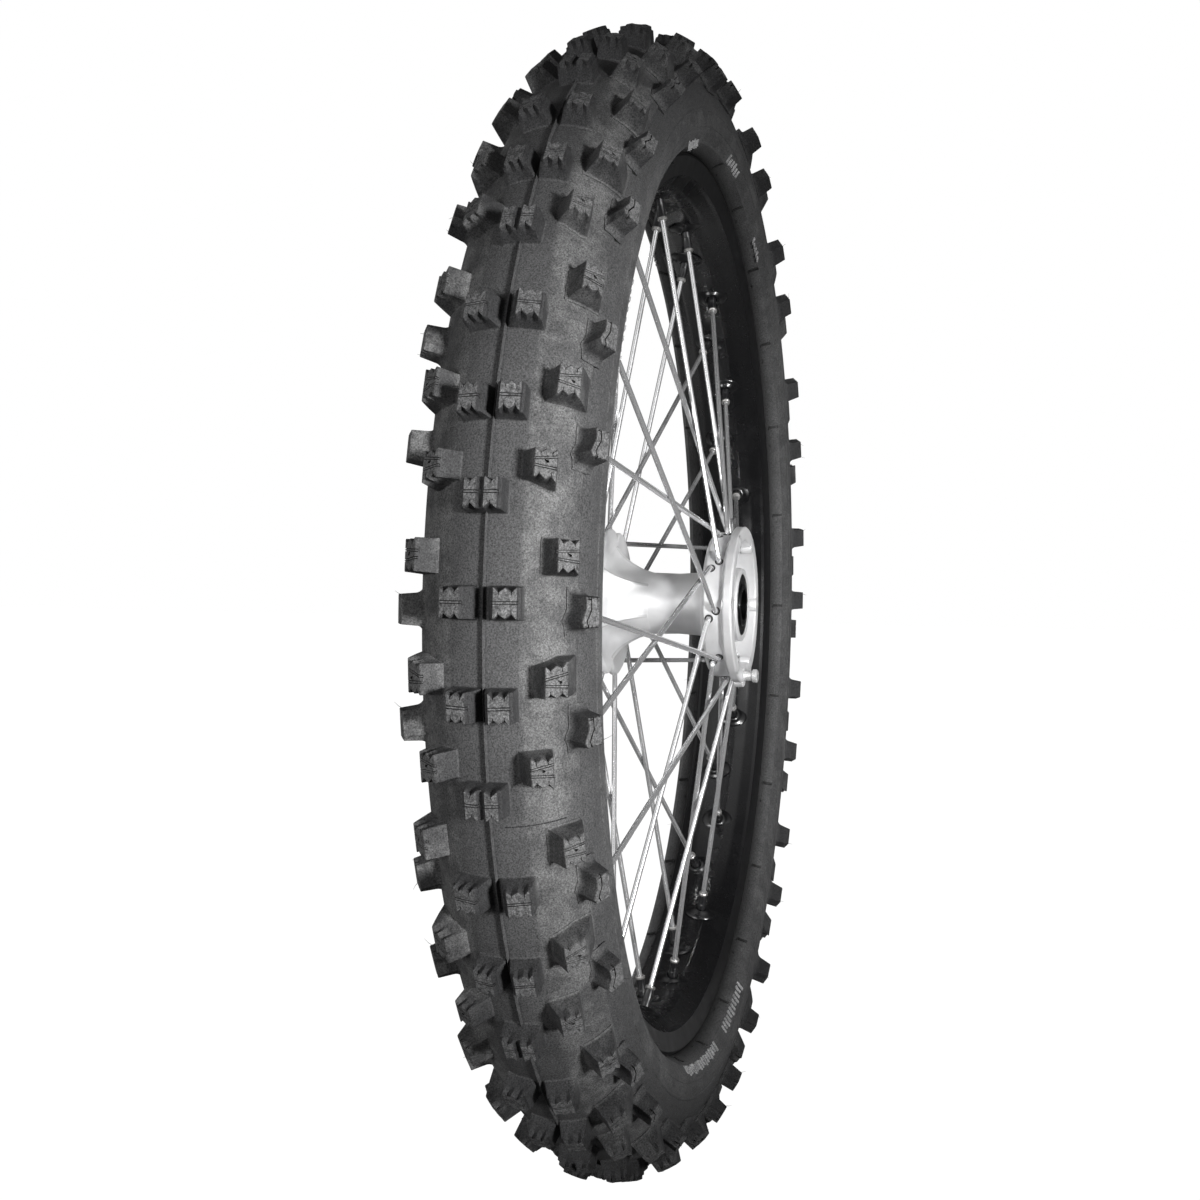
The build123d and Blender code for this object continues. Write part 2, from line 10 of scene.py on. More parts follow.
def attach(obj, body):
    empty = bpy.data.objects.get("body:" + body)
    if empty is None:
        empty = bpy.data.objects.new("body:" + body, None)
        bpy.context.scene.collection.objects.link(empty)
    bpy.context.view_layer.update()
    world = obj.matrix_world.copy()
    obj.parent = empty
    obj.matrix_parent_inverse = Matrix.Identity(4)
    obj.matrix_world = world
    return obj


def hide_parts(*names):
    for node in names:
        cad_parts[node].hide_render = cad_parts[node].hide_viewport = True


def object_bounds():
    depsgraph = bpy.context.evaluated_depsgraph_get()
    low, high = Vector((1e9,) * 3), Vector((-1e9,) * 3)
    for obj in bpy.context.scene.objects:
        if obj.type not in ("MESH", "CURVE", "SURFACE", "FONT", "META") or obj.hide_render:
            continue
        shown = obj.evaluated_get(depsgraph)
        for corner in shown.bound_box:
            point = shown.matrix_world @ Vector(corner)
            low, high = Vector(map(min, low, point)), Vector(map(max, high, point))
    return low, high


# Looks of a motocross front wheel. Metres in Blender; lengths below are in
# millimetres and go through MM. The axle is Y, +Y is the disc side, +Z is up.
# Angles about the axle run from +X towards +Z.

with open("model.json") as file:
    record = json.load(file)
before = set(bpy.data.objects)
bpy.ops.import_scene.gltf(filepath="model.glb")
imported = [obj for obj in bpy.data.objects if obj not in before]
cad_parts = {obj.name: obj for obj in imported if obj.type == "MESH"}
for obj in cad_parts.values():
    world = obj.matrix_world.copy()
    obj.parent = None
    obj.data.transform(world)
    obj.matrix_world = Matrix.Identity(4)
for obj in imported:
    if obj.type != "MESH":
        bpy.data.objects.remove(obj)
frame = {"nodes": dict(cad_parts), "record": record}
cad_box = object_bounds()
MM = 0.001

# ---- sizes shared with the solids ----
TUBE_RING_R = 302.5
CASING_R = 42.0
KNOB_TOP = 11.5              # over the casing
TREAD_R = CASING_R + KNOB_TOP
PLY_INSIDE_R = 36.8
PITCHES = 16
PHASE = -0.2
TREAD_SHIFT_Y = 0.8
RIM_WELL_R = 258.0
SPOKES_PER_SET = 9
SPOKE_STEP = 360 / SPOKES_PER_SET
# Each set: hub angle, hub y, rim angle, rim y, drum radius.
SPOKE_SETS = {
    "spokes_right_forward": (-5.1, 46.7, 40.0, 5.5, 46.3),
    "spokes_right_rearward": (-11.2, 42.2, -60.0, 3.5, 46.3),
    "spokes_left_forward": (-3.0, -35.2, 50.0, -3.5, 42.5),
    "spokes_left_rearward": (1.1, -40.4, -50.0, -5.5, 42.5),
}
BEND_STANDOFF = 1.9
rng = np.random.default_rng(21)


# ---- mesh helpers ----

def link_new(name, data):
    """A new object of the scene for a mesh, a lamp or a camera."""
    obj = bpy.data.objects.new(name, data)
    bpy.context.scene.collection.objects.link(obj)
    return obj


def make_object(name, verts, faces, body, slot_name, smooth_deg=35.0):
    """A mesh piece from points in millimetres, smooth except across sharp edges."""
    mesh = bpy.data.meshes.new(name)
    mesh.from_pydata([tuple(v * MM for v in p) for p in verts], [], faces)
    mesh.validate()
    mesh.update()
    mesh.shade_smooth()
    mesh.set_sharp_from_angle(angle=math.radians(smooth_deg))
    obj = link_new(name, mesh)
    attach(obj, body)
    return obj


class Soup:
    """Collects vertices, faces and one number per face for one piece."""

    def __init__(self):
        self.verts, self.faces, self.tones = [], [], []
        self.count = 0

    def add(self, verts, faces, tones):
        self.verts.append(np.asarray(verts, float))
        self.faces += [tuple(i + self.count for i in f) for f in faces]
        self.tones += list(tones)
        self.count += len(verts)

    def build(self, name, tone_name="tone", **kw):
        verts = np.concatenate(self.verts)
        obj = make_object(name, verts.tolist(), self.faces, **kw)
        if len(obj.data.polygons) == len(self.tones):
            layer = obj.data.attributes.new(tone_name, "FLOAT", "FACE")
            layer.data.foreach_set("value", np.array(self.tones, np.float32))
        return obj


def polar(points):
    """(angle in radians, radius, y) rows to x, y, z."""
    p = np.asarray(points, float)
    return np.stack([p[:, 1] * np.cos(p[:, 0]), p[:, 2], p[:, 1] * np.sin(p[:, 0])], 1)


def revolve(profile, segments):
    """Verts and quads of a closed (radius, y) outline spun about the axle."""
    n = len(profile)
    prof = np.asarray(profile, float)
    angles = np.arange(segments) * 2 * math.pi / segments
    grid = np.stack([np.repeat(angles, n), np.tile(prof[:, 0], segments),
                     np.tile(prof[:, 1], segments)], 1)
    faces = []
    for s in range(segments):
        t = (s + 1) % segments
        for i in range(n):
            j = (i + 1) % n
            faces.append((s * n + i, t * n + i, t * n + j, s * n + j))
    return polar(grid), faces


def round_corners(points, steps):
    """A closed outline, given as radius, y and corner radius, with its corners rounded."""
    out = []
    pts = [np.array(p[:2], float) for p in points]
    radii = [p[2] for p in points]
    n = len(pts)
    for i in range(n):
        a, b, c = pts[i - 1], pts[i], pts[(i + 1) % n]
        d1, d2 = a - b, c - b
        l1, l2 = np.linalg.norm(d1), np.linalg.norm(d2)
        turn = math.acos(max(-1.0, min(1.0, float(d1 @ d2) / (l1 * l2))))
        cut = min(radii[i] / math.tan(turn / 2), 0.45 * l1, 0.45 * l2) if turn > 1e-3 else 0
        if cut < 0.02 or turn > math.radians(176):
            out.append(b)
            continue
        p, q = b + d1 / l1 * cut, b + d2 / l2 * cut
        for k in range(steps + 1):
            t = k / steps
            out.append((1 - t) ** 2 * p + 2 * t * (1 - t) * b + t * t * q)
    return [tuple(p) for p in out]


# ---- tyre casing ----

CASING_SEGMENTS = 384
# The thin rib round the middle of the tread: height over the casing, y.
FIN = [(-0.06, -2.2), (0.0, -0.5), (0.05, 0.4), (0.3, 0.62), (2.1, 0.76), (2.25, 0.9), (2.1, 1.06),
       (0.3, 1.2), (0.0, 1.4), (-0.04, 2.4)]


def casing_outline():
    """Closed (radius, y) outline of the tyre's casing, finer than the solid's."""
    half = [(deg, CASING_R) for deg in np.arange(6.0, 62.1, 2.0)]
    half += [(62.6, CASING_R), (63.1, CASING_R - 0.15), (63.7, CASING_R - 0.75), (64.4, CASING_R - 0.85),
             (66, CASING_R - 0.6), (68, CASING_R - 0.35), (71, CASING_R - 0.15), (74, CASING_R),
             (77, CASING_R), (80, CASING_R), (83, CASING_R), (84.6, CASING_R), (85.2, CASING_R + 0.35),
             (85.9, CASING_R + 0.45), (86.6, CASING_R + 0.35), (87.2, CASING_R), (90, CASING_R),
             (93, CASING_R), (96, CASING_R), (98, CASING_R), (98.5, CASING_R + 0.3), (99.3, CASING_R + 0.3),
             (99.8, CASING_R), (102, CASING_R - 0.02), (104, CASING_R)]
    right = [(TUBE_RING_R + r * math.cos(math.radians(a)), r * math.sin(math.radians(a)))
             for a, r in half]
    right += [(289.0, 38.4), (286.9, 37.3), (286.2, 37.2), (285.6, 36.4), (284.2, 34.0), (283.0, 31.9),
              (282.3, 30.2), (281.9, 28.0), (281.7, 26.2), (279.0, 24.9), (272.4, 23.1), (270.6, 21.2)]
    left = [(r, -y) for r, y in reversed(right)]
    crown = TUBE_RING_R + CASING_R
    fin = [(crown + up, y) for up, y in FIN]
    inner = [(270.6, 13.8), (277.0, 14.6), (281.5, 20.0), (286.5, 29.5)]
    for deg in range(104, -1, -8):
        a = math.radians(deg)
        inner.append((TUBE_RING_R + PLY_INSIDE_R * math.cos(a), PLY_INSIDE_R * math.sin(a)))
    inner += [(r, -y) for r, y in reversed(inner[:-1])]
    return left + fin + right + inner


# The casing's outside, from the tread to the bead: degrees round the section, distance.
SKIN = [(math.degrees(math.atan2(y, r - TUBE_RING_R)), math.hypot(y, r - TUBE_RING_R))
        for r, y in casing_outline() if y > 4 and math.hypot(y, r - TUBE_RING_R) > CASING_R - 1.6]
SKIN += [(116.9, 42.0), (119.8, 38.6), (124.0, 36.9), (128.0, 35.2)]
SKIN.sort()


def on_skin(section_deg, rise, turn_deg, side=1):
    """A point this far above the casing, at an angle round the section and the axle."""
    s, t = math.radians(section_deg), math.radians(turn_deg)
    reach = float(np.interp(section_deg, *zip(*SKIN))) + rise
    radius = TUBE_RING_R + reach * math.cos(s)
    return (radius * math.cos(t), side * reach * math.sin(s), radius * math.sin(t))


# ---- knobs ----

LEDGE_H = 9.5                # a small step in the walls of the centre knobs
# Degrees round the hollow curve between a knob's wall and the casing.
ROOT_STEPS = [16.0, 32.0, 48.0, 62.0, 74.0, 83.0, 89.0]


def knob_outline(kind):
    """Outline points: u, v, wall direction u and v, notch weight."""
    a, b = kind["half_width"], kind["half_length"]
    pts = []

    def corner(su, sv, order):
        trio = [(su * a, sv * (b - 0.55), su, 0.0),
                (su * (a - 0.16), sv * (b - 0.16), su * 0.95, sv * 0.95),
                (su * (a - 0.55), sv * b, 0.0, sv)]
        for u, v, nu, nv in (trio if order > 0 else trio[::-1]):
            pts.append((u, v, nu, nv, 0.0))

    def end(sv):
        """Zigzag along one end, from the outer corner inwards if sv is positive."""
        spots = kind["end_notches"]
        for s, k in (spots if sv > 0 else [(-s, k) for s, k in spots]):
            pts.append((s * a, sv * b, 0.0, sv, k))

    def side(su):
        for f in ((-0.62, -0.24, 0.1, 0.45, 0.75) if su > 0 else (0.75, 0.45, 0.1, -0.24, -0.62)):
            pts.append((su * a, f * b, su, 0.0, 0.0))

    corner(-1, -1, 1)
    end(-1)
    corner(1, -1, -1)
    side(1)
    corner(1, 1, 1)
    end(1)
    corner(-1, 1, -1)
    side(-1)
    return pts


def knob_loop(kind, pts, h, root_turn=None, shrink=0.0):
    """One loop of a knob at a height, before it is bent round the tyre."""
    out = []
    root = kind["root"]
    fillet, level = 0.0, h
    if root_turn is not None:
        turn = math.radians(root_turn)
        fillet, level = root * (1 - math.cos(turn)), root - root * math.sin(turn)
    top_share = max(0.0, min(1.0, (level - root) / (KNOB_TOP - root)))
    fallen = min(1.0, (KNOB_TOP - level) / (KNOB_TOP - root))
    a, b = kind["half_width"], kind["half_length"]
    for u, v, nu, nv, k in pts:
        run_u = kind["outer_run"] if u > 0 else kind["inner_run"]
        step = kind["ledge"] if level < LEDGE_H else 0.0
        grow_u = run_u * fallen + step + fillet * kind["soft"] - shrink
        grow_v = kind["end_run"] * fallen + fillet - shrink
        depth = k * kind["notch"] * top_share ** 0.8
        lean = kind["lean"](v) * (a - u) / (2 * a)
        slant = (kind["slant_top"] if v > 0 else kind["slant_low"]) * u / a * abs(v) / b
        slant *= 1.0 + kind["foot_slant"] * (1 - top_share)
        out.append((u + nu * grow_u + lean, v + nv * grow_v - math.copysign(depth, v) + slant, level))
    return out


def bars(a, b, width, gap=0.0):
    """Outline of a straight cut from a to b, or the two of a double cut."""
    d = Vector((b[0] - a[0], b[1] - a[1]))
    n = Vector((-d.y, d.x)).normalized()
    made = []
    for shift in ((gap / 2, -gap / 2) if gap else (0.0,)):
        lo, hi = shift - width / 2, shift + width / 2
        made.append([(a[0] + n.x * lo, a[1] + n.y * lo), (b[0] + n.x * lo, b[1] + n.y * lo),
                     (b[0] + n.x * hi, b[1] + n.y * hi), (a[0] + n.x * hi, a[1] + n.y * hi)])
    return made


def ribbon(path, width):
    """Outline of a bent cut of even width along a path."""
    left, right = [], []
    pts = [Vector(p) for p in path]
    for i, p in enumerate(pts):
        a = (pts[i] - pts[i - 1]).normalized() if i else None
        b = (pts[i + 1] - pts[i]).normalized() if i < len(pts) - 1 else None
        na = Vector((-a.y, a.x)) if a else None
        nb = Vector((-b.y, b.x)) if b else None
        n = na or nb
        if na and nb:
            n = (na + nb).normalized()
            n = n / max(0.5, n.dot(na))
        left.append((p.x + n.x * width / 2, p.y + n.y * width / 2))
        right.append((p.x - n.x * width / 2, p.y - n.y * width / 2))
    return right + left[::-1]


def skinned(name, loops):
    """A closed scratch object from loops of points, from one end to the other."""
    n = len(loops[0])
    bm = bmesh.new()
    rings = [[bm.verts.new(p) for p in loop] for loop in loops]
    bm.faces.new(rings[0])
    bm.faces.new(rings[-1][::-1])
    for ring, following in zip(rings, rings[1:]):
        for i in range(n):
            j = (i + 1) % n
            bm.faces.new((ring[i], following[i], following[j], ring[j]))
    bmesh.ops.recalc_face_normals(bm, faces=bm.faces)
    mesh = bpy.data.meshes.new(name)
    bm.to_mesh(mesh)
    bm.free()
    return link_new(name, mesh)


def knob_loops(kind):
    """The loops of a knob from its top to its buried foot."""
    pts = knob_outline(kind)
    loops = [knob_loop(kind, pts, KNOB_TOP, shrink=0.3)]
    levels = [KNOB_TOP - 0.28, LEDGE_H + 0.05, LEDGE_H - 0.35, (LEDGE_H + kind["root"]) / 2, kind["root"]]
    loops += [knob_loop(kind, pts, h) for h in levels]
    loops += [knob_loop(kind, pts, 0.0, deg) for deg in ROOT_STEPS]
    loops.append([(u * 0.96, v * 0.96, -1.2) for u, v, _ in loops[-1]])
    return loops


def face_tone(kind, face):
    """Tops are light; painted shade makes the floors and walls of slits dark and the walls darker towards
    the top.
    """
    mid = face.calc_center_median()
    if face.normal.z > 0.9 and mid.z > KNOB_TOP - 0.4:
        return 0.9
    # painted shade in the slits
    if KNOB_TOP - 2.6 < mid.z < KNOB_TOP - 0.35 and inside_cut(kind, mid):
        return 0.0
    # painted shade on the walls, fading to the casing's tone at the foot
    return 0.5 - 0.13 * min(1.0, max(0.0, mid.z / 3.5))


def knob_prototype(kind):
    """Verts, faces and tones of one knob, flat, with its slits cut."""
    obj = skinned("proto", knob_loops(kind))
    cutters = []
    for outline, depth in kind["cuts"]:
        cutter = skinned("cutter", [[(u, v, h) for u, v in outline]
                                    for h in (KNOB_TOP - depth, KNOB_TOP + 1.0)])
        cutters.append(cutter)
        mod = obj.modifiers.new("cut", "BOOLEAN")
        mod.operation, mod.solver, mod.object = "DIFFERENCE", "EXACT", cutter
    bpy.context.view_layer.update()
    cut = bpy.data.meshes.new_from_object(obj.evaluated_get(bpy.context.evaluated_depsgraph_get()))
    bm = bmesh.new()
    bm.from_mesh(cut)
    bmesh.ops.remove_doubles(bm, verts=bm.verts, dist=1e-5)
    bmesh.ops.triangulate(bm, faces=[f for f in bm.faces if len(f.verts) > 4])
    bm.verts.index_update()
    verts = np.array([v.co[:] for v in bm.verts])
    faces = [tuple(v.index for v in f.verts) for f in bm.faces]
    tones = [face_tone(kind, f) for f in bm.faces]
    bm.free()
    for o in [obj] + cutters:
        bpy.data.objects.remove(o)
    return verts, faces, tones


def inside_cut(kind, p):
    """True if a face's middle lies in one of the knob's slits, or just beside it."""
    grown = 0.08
    for outline, _ in kind["cuts"]:
        inside = False
        n = len(outline)
        for i in range(n):
            (x1, y1), (x2, y2) = outline[i], outline[(i + 1) % n]
            if (y1 > p.y) != (y2 > p.y) and p.x < (x2 - x1) * (p.y - y1) / (y2 - y1) + x1 + grown:
                inside = not inside
        if inside:
            return True
    return False


def slots(a, b, spots):
    """The pin cuts that run in from each notch at both ends."""
    made = []
    for s in spots:
        for end in (1, -1):
            y0, y1 = end * (b - 1.7), end * (b - 3.4)
            made += [(o, 2.2) for o in bars((s * a, y0), (s * a + 0.1 * end, y1), 0.36)]
    return made


def pit(u, v):
    """Outline of the small hollow in a middle knob."""
    around = [(-1.15, 0.85), (-1.0, 0.1), (-0.1, -0.9), (1.1, -0.5), (0.9, 0.2), (0.1, 0.5)]
    return [(u + du, v + dv) for du, dv in around]


# Along an end: share of the half width, how much of the notch's depth.
ZIGZAG = [(0.52, 1.0), (0.02, -0.1), (-0.52, 1.0)]
HALF_LENGTH = 7.1


def half_width(width_deg):
    return math.radians(width_deg) * TREAD_R / 2


def upright(v):
    return 0.0


def block(width_deg, cuts, **more):
    """What a knob looks like: millimetres at its top, and how its walls run out below it."""
    kind = {"half_width": half_width(width_deg), "half_length": HALF_LENGTH, "end_notches": ZIGZAG,
            "notch": 2.2, "outer_run": 1.4, "inner_run": 1.4, "end_run": 0.6, "root": 1.0, "soft": 1.0,
            "ledge": 1.0, "slant_top": 0.0, "slant_low": 0.0, "foot_slant": 0.0, "lean": upright,
            "cuts": cuts}
    kind.update(more)
    return kind


def centre_block(width_deg, spots=(0.52, -0.52), **more):
    a = half_width(width_deg)
    cuts = [(o, 1.5) for o in bars((-a - 0.5, 0.1), (a + 0.5, 0.25), 0.42, 1.2)]
    return block(width_deg, cuts + slots(a, HALF_LENGTH, spots), **more)


def middle_block(width_deg, upper, lower, pit_at, half_length=HALF_LENGTH, **more):
    """upper and lower hold v at the inner and at the outer edge of each double cut."""
    a = half_width(width_deg)
    cuts = [(o, 1.5) for v0, v1 in (upper, lower)
            for o in bars((-a - 0.4, v0), (a + 0.4, v1), 0.38, 1.0)]
    cuts.append((pit(*pit_at), 1.8))
    cuts += slots(a, half_length, (0.52, -0.52))
    return block(width_deg, cuts, ledge=0.0, half_length=half_length, **more)


def shoulder_lean(v):
    return float(np.interp(v, [-7.1, -4.0, 1.3, 7.1], [1.7, 0.0, 2.8, 2.45]))


def shoulder_block(width_deg):
    path = [(0.05, 8.4), (0.26, 1.2), (-2.37, -4.0), (-0.4, -8.4)]
    cuts = [(ribbon(path, 0.6), 2.2), (bars((0.1, 5.85), (-2.0, 5.7), 0.55)[0], 1.8)]
    return block(width_deg, cuts, lean=shoulder_lean, ledge=0.0, inner_run=0.1, outer_run=1.0, end_run=0.7,
                 root=4.0, soft=0.32, notch=0.6, half_length=6.95,
                 end_notches=[(0.6, 1.0), (0.3, 0.0), (0.0, 1.0), (-0.3, 0.0), (-0.6, 1.0)])


# Angle in the pitch, inner and outer edge round the section, what it looks like.
KNOBS = [
    (0.0, 8.1, 19.9, centre_block(11.8)),
    (-7.5, 5.5, 16.1, centre_block(10.6)),
    (-14.65, 1.7, 8.6, centre_block(6.9, spots=(0.0,), end_notches=[(0.05, 1.0)])),
    (-5.65, 33.0, 44.6, middle_block(11.6, (0.9, 3.5), (-1.6, -2.6), (1.6, -0.2), half_length=7.6,
                                     outer_run=9.3, slant_top=0.9, foot_slant=1.2)),
    (-12.35, 25.0, 36.1, middle_block(11.1, (1.9, 3.7), (-0.9, -1.9), (0.3, 1.2), inner_run=2.6,
                                      outer_run=2.5, slant_low=-0.9, foot_slant=1.2)),
    (-18.95, 38.7, 50.2, middle_block(11.5, (1.7, 2.6), (-1.5, -2.5), (0.4, 0.5), half_length=7.6,
                                      outer_run=5.5)),
    (-0.6, 52.3, 63.6, shoulder_block(11.3)),
    (-9.9, 53.3, 64.9, shoulder_block(11.6)),
]
SHOULDER_ROWS = [(-0.6, 58.0), (-9.9, 59.1)]    # angle in the pitch, middle round the section


def pitch_turns(pitch_angle):
    """The angles about the axle of one kind of knob."""
    return [pitch_angle + PHASE + pitch * 360 / PITCHES for pitch in range(PITCHES)]


def bend_knob(verts, pitch_deg, middle_deg, side):
    """Lays a flat knob on the tyre at an angle about the axle and round the section."""
    u, v, h = verts[:, 0], verts[:, 1], verts[:, 2]
    s = math.radians(middle_deg)
    fall = np.sqrt(np.maximum(CASING_R ** 2 - u ** 2, 1.0)) - CASING_R
    keep = np.clip((KNOB_TOP - h) / (KNOB_TOP - 2.4), 0, 1)
    rise = CASING_R + h + fall * (0.45 + 0.55 * keep)
    across = TUBE_RING_R + rise * math.cos(s) - u * math.sin(s)
    y = rise * math.sin(s) + u * math.cos(s)
    run_r = TUBE_RING_R + TREAD_R * math.cos(s)
    angle = math.radians(pitch_deg) + v / run_r
    return np.stack([across * np.cos(angle), side * y + TREAD_SHIFT_Y, across * np.sin(angle)], 1)


PAD_FOOT = -0.4              # how deep a raised patch starts in the casing
HAIR_RADIUS = 0.26
HAIR_SHARE = 0.6             # of the shoulder knobs' outer corners
TICK_STEP = 15               # degrees about the axle
DOT_STEP = 3
MOULD_LINE_TURN = -17.25     # degrees
MOULD_LINE_HALF = 0.045


def pad(soup, turns, sections, rise, side=1, tone=0.5):
    """A raised closed patch between two angles about the axle and two round the section."""
    steps = max(2, int(round(abs(turns[1] - turns[0]) / 1.5)) + 1)
    along = np.linspace(turns[0], turns[1], steps)
    low, high = sections
    edge = min(0.35, (high - low) * 0.2)
    rows = [(low, PAD_FOOT), (low + edge, rise), ((low + high) / 2, rise), (high - edge, rise),
            (high, PAD_FOOT)]
    n = len(rows)
    verts = [on_skin(sec, up, t, side) for t in along for sec, up in rows]
    faces = []
    for i in range(steps - 1):
        for j in range(n):
            k = (j + 1) % n
            quad = (i * n + j, i * n + k, (i + 1) * n + k, (i + 1) * n + j)
            faces.append(quad if side > 0 else quad[::-1])
    caps = [tuple(range(n))[::-1], tuple((steps - 1) * n + j for j in range(n))]
    faces += caps if side > 0 else [c[::-1] for c in caps]
    soup.add(verts, faces, [tone] * len(faces))


def hair(soup, turn_deg, section_deg, side, length, droop):
    """One moulding hair: a thin bent spike that grows out of a knob's outer corner."""
    rings, sides = 5, 5
    verts, faces = [], []
    for k in range(rings):
        t = k / (rings - 1)
        radius = HAIR_RADIUS * (1 - 0.75 * t)
        rise = KNOB_TOP - 3.0 + length * t
        bent = droop * t * t
        middle = Vector(on_skin(section_deg + bent * 6, rise, turn_deg + bent * 0.5, side))
        middle.y += TREAD_SHIFT_Y
        out = (middle - Vector(on_skin(section_deg, 0, turn_deg, side))).normalized()
        a = out.orthogonal().normalized()
        b = out.cross(a)
        for q in range(sides):
            w = 2 * math.pi * q / sides
            verts.append(tuple(middle + (a * math.cos(w) + b * math.sin(w)) * radius))
    for start in range(0, (rings - 1) * sides, sides):
        for q in range(sides):
            r = (q + 1) % sides
            faces.append((start + q, start + r, start + sides + r, start + sides + q))
    faces += [tuple(range(sides))[::-1], tuple(range((rings - 1) * sides, rings * sides))]
    soup.add(verts, faces, [0.4] * len(faces))


# Raised bars on the sidewall where a maker would put lettering, coloured light grey as a
# painted highlight: first angle, last angle, number of bars, inner and outer edge round the section.
BAR_GROUPS = [
    (91.5, 98.5, 6, 103.5, 112.0), (114.0, 119.0, 5, 110.0, 117.0), (248.5, 261.5, 12, 103.6, 113.0),
    (266.5, 285.5, 17, 103.6, 113.0), (20.0, 34.0, 12, 103.6, 113.0), (68.0, 74.0, 6, 109.0, 117.0),
]


def add_sidewall_marks(soup, side):
    """Radial ticks coloured dark as painted shade, raised bars coloured light grey as a painted highlight,
    and small dots by the flange on one sidewall.
    """
    for turn in range(0, 360, TICK_STEP):
        # painted shade: the raised ticks are coloured nearly black
        pad(soup, (turn - 0.2, turn + 0.2), (115.5, 123.5), 0.4, side, tone=0.0)
    for first, last, count, low, high in BAR_GROUPS:
        step = (last - first) / count
        for k in range(count):
            start = first + k * step
            lift = (0.0, 1.6, 0.8)[k % 3]
            span = (low + lift, high - (lift * 1.3) % 2.0)
            # painted highlight: the raised bars are coloured light grey
            pad(soup, (start, start + step * 0.42), span, 0.7, side, tone=1.0)
    for turn in range(0, 360, DOT_STEP):
        if turn % TICK_STEP < 2 * DOT_STEP:
            pad(soup, (turn, turn + 0.35), (123.4, 124.4), 0.4, side)


def add_hairs(soup, side):
    """Moulding hairs on more than half of the shoulder knobs' outer corners."""
    for row, section in SHOULDER_ROWS:
        for middle_turn in pitch_turns(row):
            for end in (1, -1):
                wild = rng.random(3)
                if wild[2] < HAIR_SHARE:
                    hair(soup, middle_turn + end * 1.02, section + 5.2, side, 4.2 + 1.8 * wild[0],
                         (wild[1] - 0.5) * 2.0)


def add_mould_line(soup):
    """A thin line across the disc half of the tread, where the mould's segments met, raised and coloured
    dark as painted shade.
    """
    turns = (MOULD_LINE_TURN - MOULD_LINE_HALF, MOULD_LINE_TURN + MOULD_LINE_HALF)
    for k in range(10):
        start = 9.5 + 4 * k
        # painted shade: tone 0.3 darkens the raised line
        pad(soup, turns, (start, start + 4.2), 0.25, tone=0.3)


def mark_wear_and_painted_light(obj):
    """Worn, lighter places with painted light on the -Y shoulder knobs' inner walls and painted shade along
    the mould line, and painted shade on the lower sidewall by the rim, as two values at each vertex.
    """
    mesh = obj.data
    co = np.zeros(len(mesh.vertices) * 3)
    mesh.vertices.foreach_get("co", co)
    co = co.reshape(-1, 3) / MM
    out = np.hypot(co[:, 0], co[:, 2]) - TUBE_RING_R
    section = np.degrees(np.arctan2(np.abs(co[:, 1]), out))
    rise = np.hypot(out, co[:, 1]) - CASING_R
    wear_with_painted_light = np.interp(section, [0, 20, 22.5, 24.5, 45, 60, 63.0, 63.8, 80, 92, 116, 126, 180],
                     [0.1, 0.12, 0.2, 0.75, 0.85, 0.5, 0.35, 0.1, 0.1, 0.4, 0.36, 0.1, 0.0])
    wear_with_painted_light *= np.interp(rise, [-2, 0.5, 3, 12], [1.0, 1.0, 0.3, 0.75])
    # painted light: the inner walls of the shoulder knobs on the -Y side, which face the key lamp, are made
    # light
    inner_wall = (co[:, 1] < 0) & (np.abs(section - 53.3) < 2.2) & (rise > 1.5)
    wear_with_painted_light[inner_wall] = 0.95
    turn = np.degrees(np.arctan2(co[:, 2], co[:, 0]))
    # painted shade: no wear along the mould line, so it stays dark
    wear_with_painted_light[(co[:, 1] > 0) & (np.abs(turn - MOULD_LINE_TURN) < 0.1)] = 0.0
    # painted shade: the lower sidewall darkens towards the rim
    lower = np.interp(section, [0, 116, 128, 180], [0.0, 0.0, 0.85, 1.0])
    for name, values in (("wear_and_painted_light", wear_with_painted_light), ("lower", lower)):
        layer = mesh.attributes.new(name, "FLOAT", "POINT")
        layer.data.foreach_set("value", values.astype(np.float32))


def build_tyre():
    soup = Soup()
    verts, faces = revolve(casing_outline(), CASING_SEGMENTS)
    soup.add(verts, faces, [0.5] * len(faces))
    for side in (1, -1):
        add_sidewall_marks(soup, side)
        add_hairs(soup, side)
    add_mould_line(soup)
    for pitch_angle, inner, outer, kind in KNOBS:
        proto, faces, tones = knob_prototype(kind)
        flipped = [f[::-1] for f in faces]
        for turn in pitch_turns(pitch_angle):
            for side in (1, -1):
                verts = bend_knob(proto, turn, (inner + outer) / 2, side)
                soup.add(verts, flipped if side > 0 else faces, tones)
    obj = soup.build("tyre_knobbly", body="wheel", slot_name="tyre_rubber")
    mark_wear_and_painted_light(obj)
    return obj


tyre = build_tyre()
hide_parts("tyre")


# ---- rim, its nipple seats and the nipples ----

RIM_SEGMENTS = 360
# One half of the rim's section: radius, y, corner radius.
RIM_HALF = [(258.0, 0, 0), (258.2, 9.0, 9), (260.8, 16.2, 9), (266.9, 22.9, 3), (268.3, 25.1, 0.35),
            (279.6, 28.4, 1.0), (281.0, 27.6, 0.8), (281.0, 26.2, 0.5), (279.8, 25.5, 0.6),
            (272.6, 23.6, 1.0), (270.4, 21.6, 0.8), (270.4, 13.4, 0.8), (269.2, 12.6, 0.5),
            (263.4, 9.6, 1.0), (261.0, 8.0, 0.8), (261.0, 0, 0)]
# Seat round a nipple: distance from its line, height over the rim.
SEAT = [(9.6, -1.6), (9.2, -0.5), (8.3, 0.15), (7.3, 0.6), (6.5, 1.3), (5.8, 2.2), (5.2, 2.75), (4.5, 3.0),
        (3.9, 2.95), (3.55, 2.6), (3.4, 1.2)]
